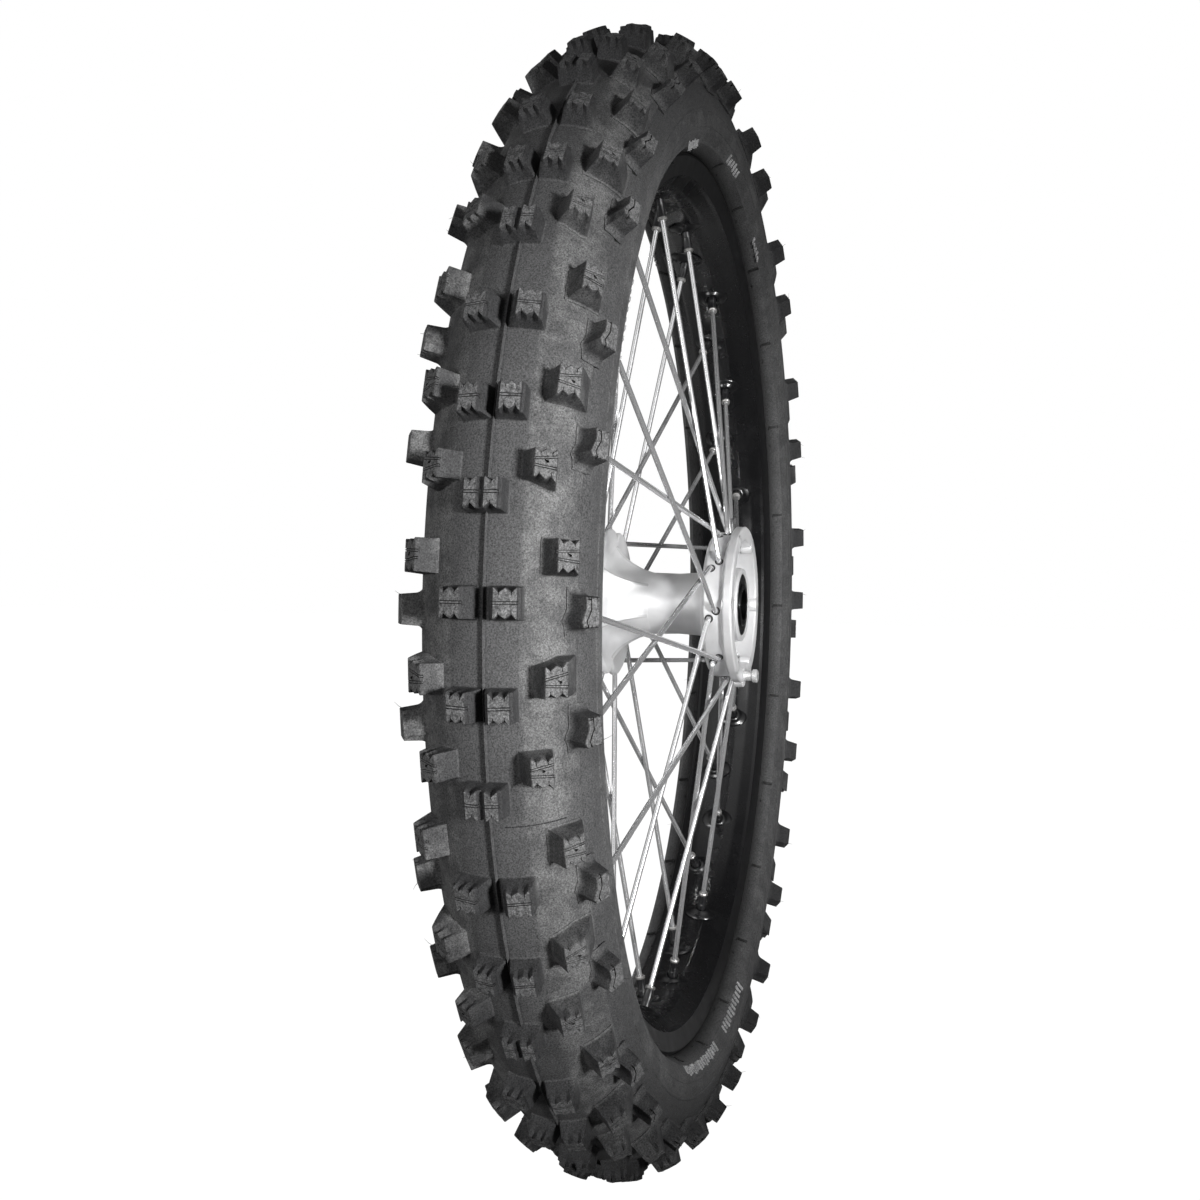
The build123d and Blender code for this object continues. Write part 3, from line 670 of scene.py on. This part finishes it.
# Nipple: distance from the seat's face towards the hub, radius, how square it is, brightness.
NIPPLE = [(-2.1, 4.3, 0, 0), (-0.5, 4.3, 0, 0), (-0.4, 3.1, 0, 0), (6.2, 3.1, 0, 0), (6.8, 3.05, 0.9, 0),
          (13.6, 3.05, 0.9, 0), (14.1, 3.15, 0, 0.05), (15.3, 3.15, 0, 0.35), (15.9, 2.7, 0, 1.0),
          (16.0, 1.75, 0, 0.3), (15.0, 1.7, 0, 0)]


def on_wheel(angle_deg, radius, y):
    a = math.radians(angle_deg)
    return Vector((radius * math.cos(a), y, radius * math.sin(a)))


def nipple_axis(set_name, index):
    """Where a nipple meets the rim, and its line towards the hub."""
    hub_angle, hub_y, rim_angle, rim_y, drum_r = SPOKE_SETS[set_name]
    turn = index * SPOKE_STEP
    seat = on_wheel(rim_angle + turn, RIM_WELL_R, rim_y)
    bend = on_wheel(hub_angle + turn, drum_r + BEND_STANDOFF, hub_y)
    return seat, (bend - seat).normalized()


def turned(soup, start, line, rows, sides, stretch=1.0):
    """A closed round part about a line; rows are distance, radius, squareness and tone."""
    across = Vector((0, 1, 0)) if abs(line.y) < 0.9 else Vector((1, 0, 0))
    across = (across - line * across.dot(line)).normalized()
    other = line.cross(across)
    verts, faces, tones = [], [], []
    for i, (distance, radius, square, tone) in enumerate(rows):
        pull = 1 + (stretch - 1) * max(0.0, (radius - 4.5) / 5.0)
        for k in range(sides):
            w = 2 * math.pi * (k + 0.5) / sides
            flat = 1 / max(abs(math.cos(w)), abs(math.sin(w)))
            reach = radius * (1 - square + square * min(1.0, flat * 0.82))
            verts.append(tuple(start + line * distance + across * (math.cos(w) * reach * pull)
                               + other * (math.sin(w) * reach)))
        if i:
            for k in range(sides):
                j = (k + 1) % sides
                faces.append(((i - 1) * sides + k, (i - 1) * sides + j, i * sides + j, i * sides + k))
                tones.append(tone)
    last = (len(rows) - 1) * sides
    faces += [tuple(range(sides))[::-1], tuple(last + k for k in range(sides))]
    soup.add(verts, faces, tones + [0.0, 0.0])


def side_values(outline, value):
    """value(side's two ends) for each side of a closed outline."""
    return [value(*a, *b) for a, b in zip(outline, outline[1:] + outline[:1])]


def flange_edge(r1, y1, r2, y2):
    """1 on the outside of the rim's flanges, which are rougher than the well."""
    return 1.0 if (r1 + r2) / 2 > 268.35 and abs(y1 + y2) / 2 > 24.5 else 0.0


def build_rim():
    outline = round_corners(RIM_HALF + [(r, -y, c) for r, y, c in RIM_HALF[::-1] if y > 0], 5)
    verts, faces = revolve(outline, RIM_SEGMENTS)
    soup = Soup()
    soup.add(verts, faces, side_values(outline, flange_edge) * RIM_SEGMENTS)
    for name in SPOKE_SETS:
        for k in range(SPOKES_PER_SET):
            seat, line = nipple_axis(name, k)
            turned(soup, seat, line, [(h, r, 0, 0) for r, h in SEAT], 28, 1.22)
    return soup.build("rim_spun", "edge", body="wheel", slot_name="rim_black")


def build_nipples(side_name):
    soup = Soup()
    for name in SPOKE_SETS:
        if side_name in name:
            for k in range(SPOKES_PER_SET):
                seat, line = nipple_axis(name, k)
                turned(soup, seat, line, NIPPLE, 24)
    return soup.build("nipples_%s_turned" % side_name, "edge", body="wheel", slot_name="nipple_black")


rim = build_rim()
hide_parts("rim")
nipples = {side_name: build_nipples(side_name) for side_name in ("right", "left")}
for side_name, obj in nipples.items():
    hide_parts("nipples_" + side_name)


# ---- hub ----

# The hub's plain round part: radius, y, corner radius.
HUB_OUTLINE = [
    (20.0, -4, 3), (19.5, 14, 20), (20.4, 29, 10), (23.0, 34.5, 6), (29.0, 36.7, 3), (43.8, 36.7, 0.8),
    (46.3, 38.9, 1.4), (46.3, 49.8, 0.8), (49.2, 51.0, 0.5), (50.0, 51.8, 0.6), (50.0, 56.2, 0.7),
    (49.2, 57.0, 0.6), (42.1, 57.0, 0.6), (41.3, 56.2, 0.6), (41.3, 39.0, 2.5), (25.0, 39.0, 2.0),
    (23.6, 40.4, 1.0), (23.6, 54.5, 0.7), (22.6, 55.5, 0.6), (20.3, 55.5, 0.4), (19.5, 54.8, 0),
    (19.5, 49.4, 0), (18.5, 49.2, 0), (18.5, 38.5, 0), (15.5, 38.5, 0), (15.5, -34.5, 0),
    (18.5, -34.5, 0), (18.5, -43.5, 0), (19.5, -44.0, 0), (19.5, -49.4, 0), (20.3, -50.0, 0.4),
    (22.6, -50.0, 0.6), (23.6, -49.0, 0.7), (23.6, -33.5, 1.0), (25.0, -32.1, 2.0), (37.5, -32.1, 2.0),
    (37.5, -44.5, 0.6), (41.7, -44.5, 0.6), (42.5, -43.7, 0.6), (42.5, -32.0, 1.0), (40.3, -30.2, 0.8),
    (33.0, -30.2, 1.0), (26.0, -29.0, 2), (19.6, -20, 4)]
LOBES = 6
LOBE_ANGLE = 5.0
# The bell between the left flange and the barrel: y, radius along a ridge and in a pocket.
BELL_Y = [-31.2, -30.2, -28.8, -26.5, -23.0, -18.0, -12.5, -8.0, -5.0, -3.0]
BELL_RIDGE = [40.5, 38.6, 36.4, 33.4, 29.8, 26.0, 23.0, 21.3, 20.4, 19.9]
BELL_POCKET = [36.0, 31.0, 27.4, 24.6, 22.7, 21.3, 20.5, 20.15, 20.0, 19.8]
MAGNET_ANGLE = -90.0
DISC_BOLTS = 6
DISC_BOLT_R = 45.5
DISC_SEAT_Y = 57.0
BARREL_SEGMENTS = 192
BELL_SEGMENTS = 288
RIDGE_LIMIT = 0.17           # of a lobe's share; less is a ridge
# Each turned boss: distance along the axle, radius, squareness, darkness (painted shade in its hole).
DISC_LUG = [(-6.5, 5.2, 0, 0), (-0.5, 5.2, 0, 0), (0.05, 4.8, 0, 0), (0.12, 4.5, 0, 0), (0.12, 3.3, 0, 0),
            (-0.5, 2.7, 0, 0.6), (-5.5, 2.6, 0, 1.0)]
MAGNET_LUG = [(-6.0, 6.4, 0, 0), (-0.6, 6.4, 0, 0), (0.0, 5.8, 0, 0), (0.02, 4.4, 0, 0),
              (-0.2, 4.0, 0, 0.4)]


def lobe_share(turn_deg):
    """1 in the middle of a lobe of the left flange, 0 where two lobes meet."""
    return abs(math.cos(math.radians((turn_deg - LOBE_ANGLE) * LOBES / 2)))


def spun_varying(soup, profile_at, ridge_shade=0.0):
    """A closed shape round the axle whose section changes with the angle, shaded along its ridges."""
    grid, shade = [], []
    for s in range(BELL_SEGMENTS):
        turn = s * 360 / BELL_SEGMENTS
        rows = profile_at(turn)
        grid += [(math.radians(turn), r, y) for r, y in rows]
        shade += [ridge_shade if lobe_share(turn) < RIDGE_LIMIT else 0.0] * len(rows)
    _, faces = revolve([(1.0, 0.0)] * len(rows), BELL_SEGMENTS)
    soup.add(polar(grid), faces, shade)


def bell_section(turn):
    """From the left flange down to the barrel: pockets in the lobes, ridges between them."""
    share = lobe_share(turn) ** 0.75
    rows = [(ridge + (pocket - ridge) * share, y)
            for y, ridge, pocket in zip(BELL_Y, BELL_RIDGE, BELL_POCKET)]
    return rows + [(18.8, -3.0), (18.8, -31.2)]


def flange_section(turn):
    """The left flange, which reaches further out in the middle of each lobe."""
    reach = 41.6 + 7.2 * math.sin(math.pi / 2 * min(1.0, lobe_share(turn) * 1.25)) ** 0.8
    edge = [(-2.0, -33.6), (-0.8, -33.2), (-0.15, -32.2), (0.0, -31.4), (-0.2, -30.3), (-0.9, -29.4),
            (-2.0, -29.0), (-4.0, -29.1)]
    return [(reach + out, y) for out, y in edge] + [(34.0, -30.4), (34.0, -33.4)]


def hole_rim(soup, centre, line, radius):
    """The shadowed mouth of a drilled hole."""
    rows = [(-1.0, radius + 0.9, 0, 1), (0.12, radius + 0.9, 0, 1), (0.3, radius + 0.5, 0, 1),
            (0.22, radius, 0, 1), (-0.8, radius - 0.2, 0, 1)]
    turned(soup, centre, line, rows, 18)


def bearing_seat(r1, y1, r2, y2):
    """1 inside the bearing and seal seats, which painted shade makes dark."""
    return 1.0 if max(r1, r2) < 19.6 and (min(y1, y2) > 36 or max(y1, y2) < -33) else 0.0


def build_hub():
    soup = Soup()
    outline = round_corners(HUB_OUTLINE, 4)
    verts, faces = revolve(outline, BARREL_SEGMENTS)
    soup.add(verts, faces, side_values(outline, bearing_seat) * BARREL_SEGMENTS)
    spun_varying(soup, bell_section, ridge_shade=0.3)
    spun_varying(soup, flange_section)
    axle = Vector((0, 1, 0))
    for turn in range(0, 360, 360 // DISC_BOLTS):
        turned(soup, on_wheel(turn, DISC_BOLT_R - 1.0, DISC_SEAT_Y), axle, DISC_LUG, 36)
    turned(soup, on_wheel(MAGNET_ANGLE, DISC_BOLT_R + 0.9, DISC_SEAT_Y), axle, MAGNET_LUG, 36)
    for hub_angle, hub_y, _, _, drum_r in SPOKE_SETS.values():
        for k in range(SPOKES_PER_SET):
            turn = hub_angle + k * SPOKE_STEP
            hole_rim(soup, on_wheel(turn, drum_r - 0.05, hub_y), on_wheel(turn, 1.0, 0.0), 1.75)
    return soup.build("hub_cast", "dark", body="wheel", slot_name="hub_alloy", smooth_deg=40)


hub = build_hub()
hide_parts("hub")


# ---- materials ----

class Graph:
    """A Principled material with short calls for adding nodes."""

    def __init__(self, name, **settings):
        self.mat = bpy.data.materials.new(name)
        self.mat.use_nodes = True
        self.tree = self.mat.node_tree
        self.bsdf = self.tree.nodes["Principled BSDF"]
        for key, value in settings.items():
            self.bsdf.inputs[key.replace("_", " ")].default_value = value
        self.place = self.tree.nodes.new("ShaderNodeTexCoord").outputs["Object"]

    def node(self, kind, links=None, **props):
        made = self.tree.nodes.new(kind)
        for key, value in props.items():
            setattr(made, key, value)
        for key, value in (links or {}).items():
            if isinstance(value, bpy.types.NodeSocket):
                self.tree.links.new(value, made.inputs[key])
            else:
                made.inputs[key].default_value = value
        return made

    def noise(self, scale, detail=3.0, rough=0.55, stretch=None):
        where = self.place
        if stretch:
            where = self.node("ShaderNodeVectorMath", {0: where, 1: stretch},
                              operation="MULTIPLY").outputs[0]
        return self.node("ShaderNodeTexNoise", {"Vector": where, "Scale": scale, "Detail": detail,
                                                "Roughness": rough}).outputs[0]

    def math(self, op, a, b=0.0, clamp=False):
        return self.node("ShaderNodeMath", {0: a, 1: b}, operation=op, use_clamp=clamp).outputs[0]

    def spread(self, value, low, high, to_low, to_high):
        links = {0: value, 1: low, 2: high, 3: to_low, 4: to_high}
        return self.node("ShaderNodeMapRange", links).outputs[0]

    def shaded(self, colour, factor):
        """A colour with all its channels times one factor."""
        level = self.node("ShaderNodeCombineColor", {0: factor, 1: factor, 2: factor}).outputs[0]
        return self.mix(1.0, colour, level, "MULTIPLY")

    def ramp(self, value, stops):
        node = self.node("ShaderNodeValToRGB", {0: value})
        elements = node.color_ramp.elements
        while len(elements) < len(stops):
            elements.new(0.5)
        for e, (place, colour) in zip(elements, stops):
            e.position = place
            e.color = (*colour, 1.0)
        return node.outputs[0]

    def mix(self, share, a, b, blend="MIX"):
        node = self.node("ShaderNodeMix", {0: share, 6: a, 7: b}, data_type="RGBA", blend_type=blend)
        return node.outputs[2]

    def attribute(self, name):
        return self.node("ShaderNodeAttribute", attribute_name=name).outputs["Fac"]

    def bump(self, height, distance, strength=1.0, before=None):
        links = {"Height": height, "Distance": distance, "Strength": strength}
        if before is not None:
            links["Normal"] = before
        return self.node("ShaderNodeBump", links).outputs[0]

    def worn_edges(self, radius):
        return self.node("ShaderNodeBevel", {"Radius": radius}, samples=4).outputs[0]

    def set(self, key, socket):
        self.tree.links.new(socket, self.bsdf.inputs[key])


def grey(v):
    return (v, v, v, 1.0)


def tyre_rubber():
    """Dry black rubber: crumbly knob tops, rubbed shoulders, painted light on the -Y shoulder knobs' inner
    walls, painted shade on the lower sidewall by the rim, in slits, on knob walls, ticks and the mould
    line, and painted highlights on the sidewall bars.
    """
    g = Graph("tyre_rubber", Specular_IOR_Level=0.22)
    tone = g.attribute("tone")
    knob_top = (0.088, 0.088, 0.089)
    # tone 0 to 0.36 is painted shade for slits, ticks, the mould line and knob walls; tone 1 is a painted
    # highlight for the sidewall bars
    base = g.ramp(tone, [(0.0, (0.004,) * 3), (0.36, (0.03, 0.03, 0.031)), (0.5, (0.056, 0.056, 0.057)),
                         (0.85, knob_top), (0.92, knob_top), (1.0, (0.42, 0.42, 0.425))])
    crumbs = g.spread(g.noise(520, 4, 0.75), 0.36, 0.64, 0.45, 1.75)
    top = g.math("MULTIPLY", g.math("GREATER_THAN", tone, 0.8), g.math("LESS_THAN", tone, 0.95))
    base = g.mix(top, base, g.shaded(base, crumbs))
    rubbed = g.spread(g.noise(60, 6, 0.75), 0.42, 0.62, 0.15, 1.4)
    # wear, and painted light on the -Y shoulder knobs' inner walls, lighten the rubber
    wear_with_painted_light = g.mix(g.math("MULTIPLY", g.attribute("wear_and_painted_light"), rubbed, True), base, grey(0.125))
    # painted shade on the lower sidewall by the rim
    wear_with_painted_light = g.mix(g.attribute("lower"), wear_with_painted_light, grey(0.012))
    blotch = g.spread(g.noise(14, 5, 0.6), 0.25, 0.75, 0.8, 1.15)
    speckle = g.spread(g.noise(1250, 2, 0.75), 0.3, 0.7, 0.36, 1.7)
    g.set("Base Color", g.shaded(wear_with_painted_light, g.math("MULTIPLY", blotch, speckle)))
    g.set("Roughness", g.spread(g.noise(60, 4), 0.3, 0.7, 0.6, 0.82))
    fine = g.bump(g.noise(1500, 3, 0.7), 0.00018, 0.8)
    g.set("Normal", g.bump(g.noise(170, 4, 0.6), 0.0004, 0.5, fine))
    return g.mat


def plain_rubber(name, shade, rough):
    g = Graph(name, Specular_IOR_Level=0.45)
    cloud = g.noise(300, 4, 0.7)
    g.set("Base Color", g.ramp(cloud, [(0.3, (shade * 0.7,) * 3), (0.7, (shade * 1.35,) * 3)]))
    g.set("Roughness", g.spread(g.noise(90, 3), 0.3, 0.7, rough - 0.1, rough + 0.12))
    g.set("Normal", g.bump(g.noise(1200, 3), 0.0001, 0.6))
    return g.mat


def metal(name, colour, rough, relief=0.00003, metallic=1.0, stretch=None, patch=0.12):
    """patch is how much the colour varies, stretch pulls the grain along an axis."""
    g = Graph(name, Metallic=metallic)
    patches = g.noise(35, 4, 0.6)
    g.set("Base Color", g.ramp(patches, [(0.3, tuple(c * (1 - patch) for c in colour)),
                                         (0.72, tuple(min(1.0, c * (1 + patch * 0.5)) for c in colour))]))
    g.set("Roughness", g.spread(g.noise(120, 4, 0.65, stretch), 0.3, 0.7, rough * 0.8, rough * 1.25))
    g.set("Normal", g.bump(g.noise(900, 3, 0.6, stretch), relief, 0.7, g.worn_edges(0.0002)))
    return g.mat


def nipple_black():
    """Blackened brass, rubbed bright at the tip."""
    g = Graph("nipple_black", Specular_IOR_Level=0.6, Coat_Weight=0.3, Coat_Roughness=0.2)
    rubbed = g.math("MULTIPLY", g.attribute("edge"), g.spread(g.noise(260, 3), 0.3, 0.6, 0.5, 1.0), True)
    g.set("Base Color", g.mix(rubbed, (0.012, 0.012, 0.013, 1), (0.75, 0.74, 0.72, 1)))
    g.set("Metallic", rubbed)
    g.set("Roughness", g.spread(g.noise(300, 3), 0.3, 0.7, 0.26, 0.42))
    g.set("Normal", g.bump(g.noise(900, 3), 0.00003, 0.6))
    return g.mat


def rim_black():
    """Black anodised rim, a little dusty, matt on the flanges."""
    g = Graph("rim_black", Specular_IOR_Level=0.5, Coat_Weight=0.2, Coat_Roughness=0.1)
    dust = g.math("MULTIPLY", g.spread(g.noise(45, 5, 0.65), 0.45, 0.75, 0.0, 1.0),
                  g.spread(g.noise(700, 2), 0.45, 0.7, 0.0, 1.0))
    edge = g.attribute("edge")
    colour = g.mix(dust, (0.004, 0.004, 0.0045, 1), (0.014, 0.014, 0.0145, 1))
    g.set("Base Color", g.mix(edge, colour, (0.005, 0.005, 0.0055, 1)))
    g.set("Roughness", g.math("ADD", g.spread(g.noise(60, 4), 0.3, 0.7, 0.2, 0.32),
                              g.math("MULTIPLY", edge, 0.18)))
    g.set("Normal", g.bump(g.noise(1400, 2), 0.00002, 0.5))
    return g.mat


def cast_alloy():
    """Pale cast hub with fine pits, with painted shade making its bearing seats, holes and bell ridges
    black.
    """
    g = Graph("hub_alloy", Specular_IOR_Level=0.6)
    cloud = g.noise(38, 5, 0.6)
    pits = g.spread(g.noise(900, 3, 0.7), 0.62, 0.8, 0.0, 0.5)
    colour = g.mix(pits, g.ramp(cloud, [(0.3, (0.64, 0.64, 0.65)), (0.7, (0.76, 0.76, 0.76))]), grey(0.5))
    dark = g.attribute("dark")
    # dark is painted shade in the bearing seats, holes and bell ridges
    g.set("Base Color", g.mix(dark, colour, grey(0.02)))
    g.set("Metallic", g.spread(dark, 0.0, 1.0, 0.45, 0.0))
    g.set("Roughness", g.spread(g.noise(160, 4, 0.7), 0.3, 0.7, 0.4, 0.56))
    rough = g.bump(g.noise(1100, 3, 0.7), 0.00008, 0.6, g.worn_edges(0.0007))
    g.set("Normal", g.bump(g.noise(150, 3), 0.00025, 0.35, rough))
    return g.mat


MATERIALS = {
    "tyre_rubber": tyre_rubber(),
    "tube_rubber": plain_rubber("tube_rubber", 0.03, 0.5),
    "strip_rubber": plain_rubber("strip_rubber", 0.04, 0.55),
    "seal_rubber": plain_rubber("seal_rubber", 0.006, 0.35),
    "shield_rubber": plain_rubber("shield_rubber", 0.02, 0.45),
    "lock_rubber": plain_rubber("lock_rubber", 0.05, 0.65),
    "cap_plastic": plain_rubber("cap_plastic", 0.02, 0.38),
    "rim_black": rim_black(),
    "nipple_black": nipple_black(),
    "spoke_steel": metal("spoke_steel", (0.95, 0.95, 0.96), 0.2, patch=0.05, metallic=0.85),
    "hub_alloy": cast_alloy(),
    "bright_steel": metal("bright_steel", (0.88, 0.88, 0.88), 0.25, metallic=0.6),
    "bearing_steel": metal("bearing_steel", (0.66, 0.66, 0.68), 0.14, relief=0.00001),
    "cage_brass": metal("cage_brass", (0.72, 0.55, 0.28), 0.3),
    "spring_steel": metal("spring_steel", (0.16, 0.16, 0.17), 0.35),
    "collar_alloy": metal("collar_alloy", (0.1, 0.1, 0.105), 0.22, stretch=(1, 40, 1)),
    "valve_brass": metal("valve_brass", (0.75, 0.66, 0.46), 0.25),
    "bead_wire": metal("bead_wire", (0.55, 0.4, 0.22), 0.3),
}


def paint(obj, slot_name):
    """Puts one material on a piece, whether it is a CAD node or a made one."""
    material = MATERIALS[slot_name]
    if not obj.data.materials:
        obj.data.materials.append(material)
    for s in obj.material_slots:
        s.link = "OBJECT"
        s.material = material


SLOT_OF = {part["node"]: part["material_slot"] for part in frame["record"]["subparts"]}
for node_name, node in frame["nodes"].items():
    paint(node, SLOT_OF[node_name])
paint(tyre, "tyre_rubber")
paint(rim, "rim_black")
paint(hub, "hub_alloy")
for obj in nipples.values():
    paint(obj, "nipple_black")


# ---- floor, light and camera ----

FLOOR_Z = cad_box[0].z
CAMERA_AT = Vector((1.0037, 0.2328, 0.0))
CAMERA_AIM = Vector((-0.96505, -0.26207, 0.00144)).normalized()
CAMERA_ROLL = 0.0177         # radians
FLOOR_HALF = 30.0
LAMP_RADIUS = 0.13
BEAM_HEIGHT_DEG = 28
BEAM_WIDENING = 2.2


def build_floor():
    """A floor that is white paper to the camera and a mid grey to every other ray."""
    mesh = bpy.data.meshes.new("floor")
    corners = [(-1, -1), (1, -1), (1, 1), (-1, 1)]
    mesh.from_pydata([(x * FLOOR_HALF, y * FLOOR_HALF, FLOOR_Z) for x, y in corners], [], [(0, 1, 2, 3)])
    floor = link_new("floor", mesh)
    g = Graph("floor_paper", Roughness=0.9, Specular_IOR_Level=0.1)
    g.set("Base Color", g.ramp(g.noise(3, 3), [(0.3, (0.16,) * 3), (0.7, (0.2,) * 3)]))
    glow = g.node("ShaderNodeEmission", {"Color": grey(1.0), "Strength": 1.06}).outputs[0]
    seen = g.node("ShaderNodeLightPath").outputs["Is Camera Ray"]
    share = g.math("MULTIPLY", seen, 0.97)
    mixed = g.node("ShaderNodeMixShader", {0: share, 1: g.bsdf.outputs[0], 2: glow}).outputs[0]
    g.tree.links.new(mixed, g.tree.nodes["Material Output"].inputs[0])
    mesh.materials.append(g.mat)


def build_world():
    """White to the camera, bright from the front in reflections, dim all round otherwise."""
    world = bpy.data.worlds.new("studio")
    bpy.context.scene.world = world
    world.use_nodes = True
    tree = world.node_tree
    new, link = tree.nodes.new, tree.links.new

    def spread(source, *values):
        node = new("ShaderNodeMapRange")
        link(source, node.inputs[0])
        for k, value in enumerate(values):
            node.inputs[k + 1].default_value = value
        return node.outputs[0]

    def background(strength):
        node = new("ShaderNodeBackground")
        node.inputs[0].default_value = (1, 1, 1, 1)
        if isinstance(strength, float):
            node.inputs[1].default_value = strength
        else:
            link(strength, node.inputs[1])
        return node.outputs[0]

    def mix(share, one, other):
        node = new("ShaderNodeMixShader")
        for k, socket in enumerate((share, one, other)):
            link(socket, node.inputs[k])
        return node.outputs[0]

    split = new("ShaderNodeSeparateXYZ")
    link(new("ShaderNodeTexCoord").outputs["Generated"], split.inputs[0])
    height = new("ShaderNodeMath")
    height.operation = "ABSOLUTE"
    link(split.outputs[2], height.inputs[0])
    dim = background(spread(height.outputs[0], 0.0, 0.7, 0.04, 0.008))
    front = background(spread(split.outputs[0], -0.2, 0.55, 0.05, 0.7))
    path = new("ShaderNodeLightPath")
    lit = mix(path.outputs["Is Glossy Ray"], dim, front)
    shown = mix(path.outputs["Is Camera Ray"], lit, background(1.0))
    link(shown, tree.nodes["World Output"].inputs[0])


def hang(name, data, place, aim=(0.0, 0.0, 0.0)):
    """Puts a lamp in place and turns it towards a point."""
    lamp = link_new(name, data)
    lamp.location = place
    lamp.rotation_euler = (Vector(aim) - Vector(place)).to_track_quat("-Z", "Y").to_euler()
    return lamp


def softbox(name, place, size, watts, spread_deg=180, gloss=True):
    data = bpy.data.lights.new(name, "AREA")
    data.shape, data.size, data.energy, data.spread = "SQUARE", size, watts, math.radians(spread_deg)
    hang(name, data, place).visible_glossy = gloss


def wide_spot(name, place, aim, watts):
    """The main light: a soft round lamp whose beam is wide and low."""
    data = bpy.data.lights.new(name, "SPOT")
    data.energy, data.shadow_soft_size = watts, LAMP_RADIUS
    data.spot_size, data.spot_blend = math.radians(BEAM_HEIGHT_DEG), 1.0
    hang(name, data, place, aim).scale = (BEAM_WIDENING, 1.0, 1.0)


def build_camera():
    data = bpy.data.cameras.new("camera")
    data.lens, data.sensor_width, data.clip_start = 47.43, 36.0, 0.01
    cam = link_new("camera", data)
    right = CAMERA_AIM.cross(Vector((0, 0, 1))).normalized()
    up = right.cross(CAMERA_AIM)
    side = right * math.cos(CAMERA_ROLL) + up * math.sin(CAMERA_ROLL)
    top = up * math.cos(CAMERA_ROLL) - right * math.sin(CAMERA_ROLL)
    axes = Matrix((side, top, -CAMERA_AIM)).transposed().to_4x4()
    cam.matrix_world = Matrix.Translation(CAMERA_AT) @ axes
    bpy.context.scene.camera = cam


build_floor()
build_world()
wide_spot("key", (1.13, 1.13, 0.03), (0.12, 0.0, 0.0), 165)
softbox("fill", (1.45, -0.55, 0.05), 0.5, 0.85, 55)
softbox("back_left", (-1.2, -1.2, 0.8), 0.7, 38, gloss=False)
softbox("back_disc", (-1.5, 0.55, 0.6), 0.7, 10, gloss=False)
build_camera()
bpy.context.scene.view_settings.view_transform = "Standard"

bpy.context.view_layer.update()
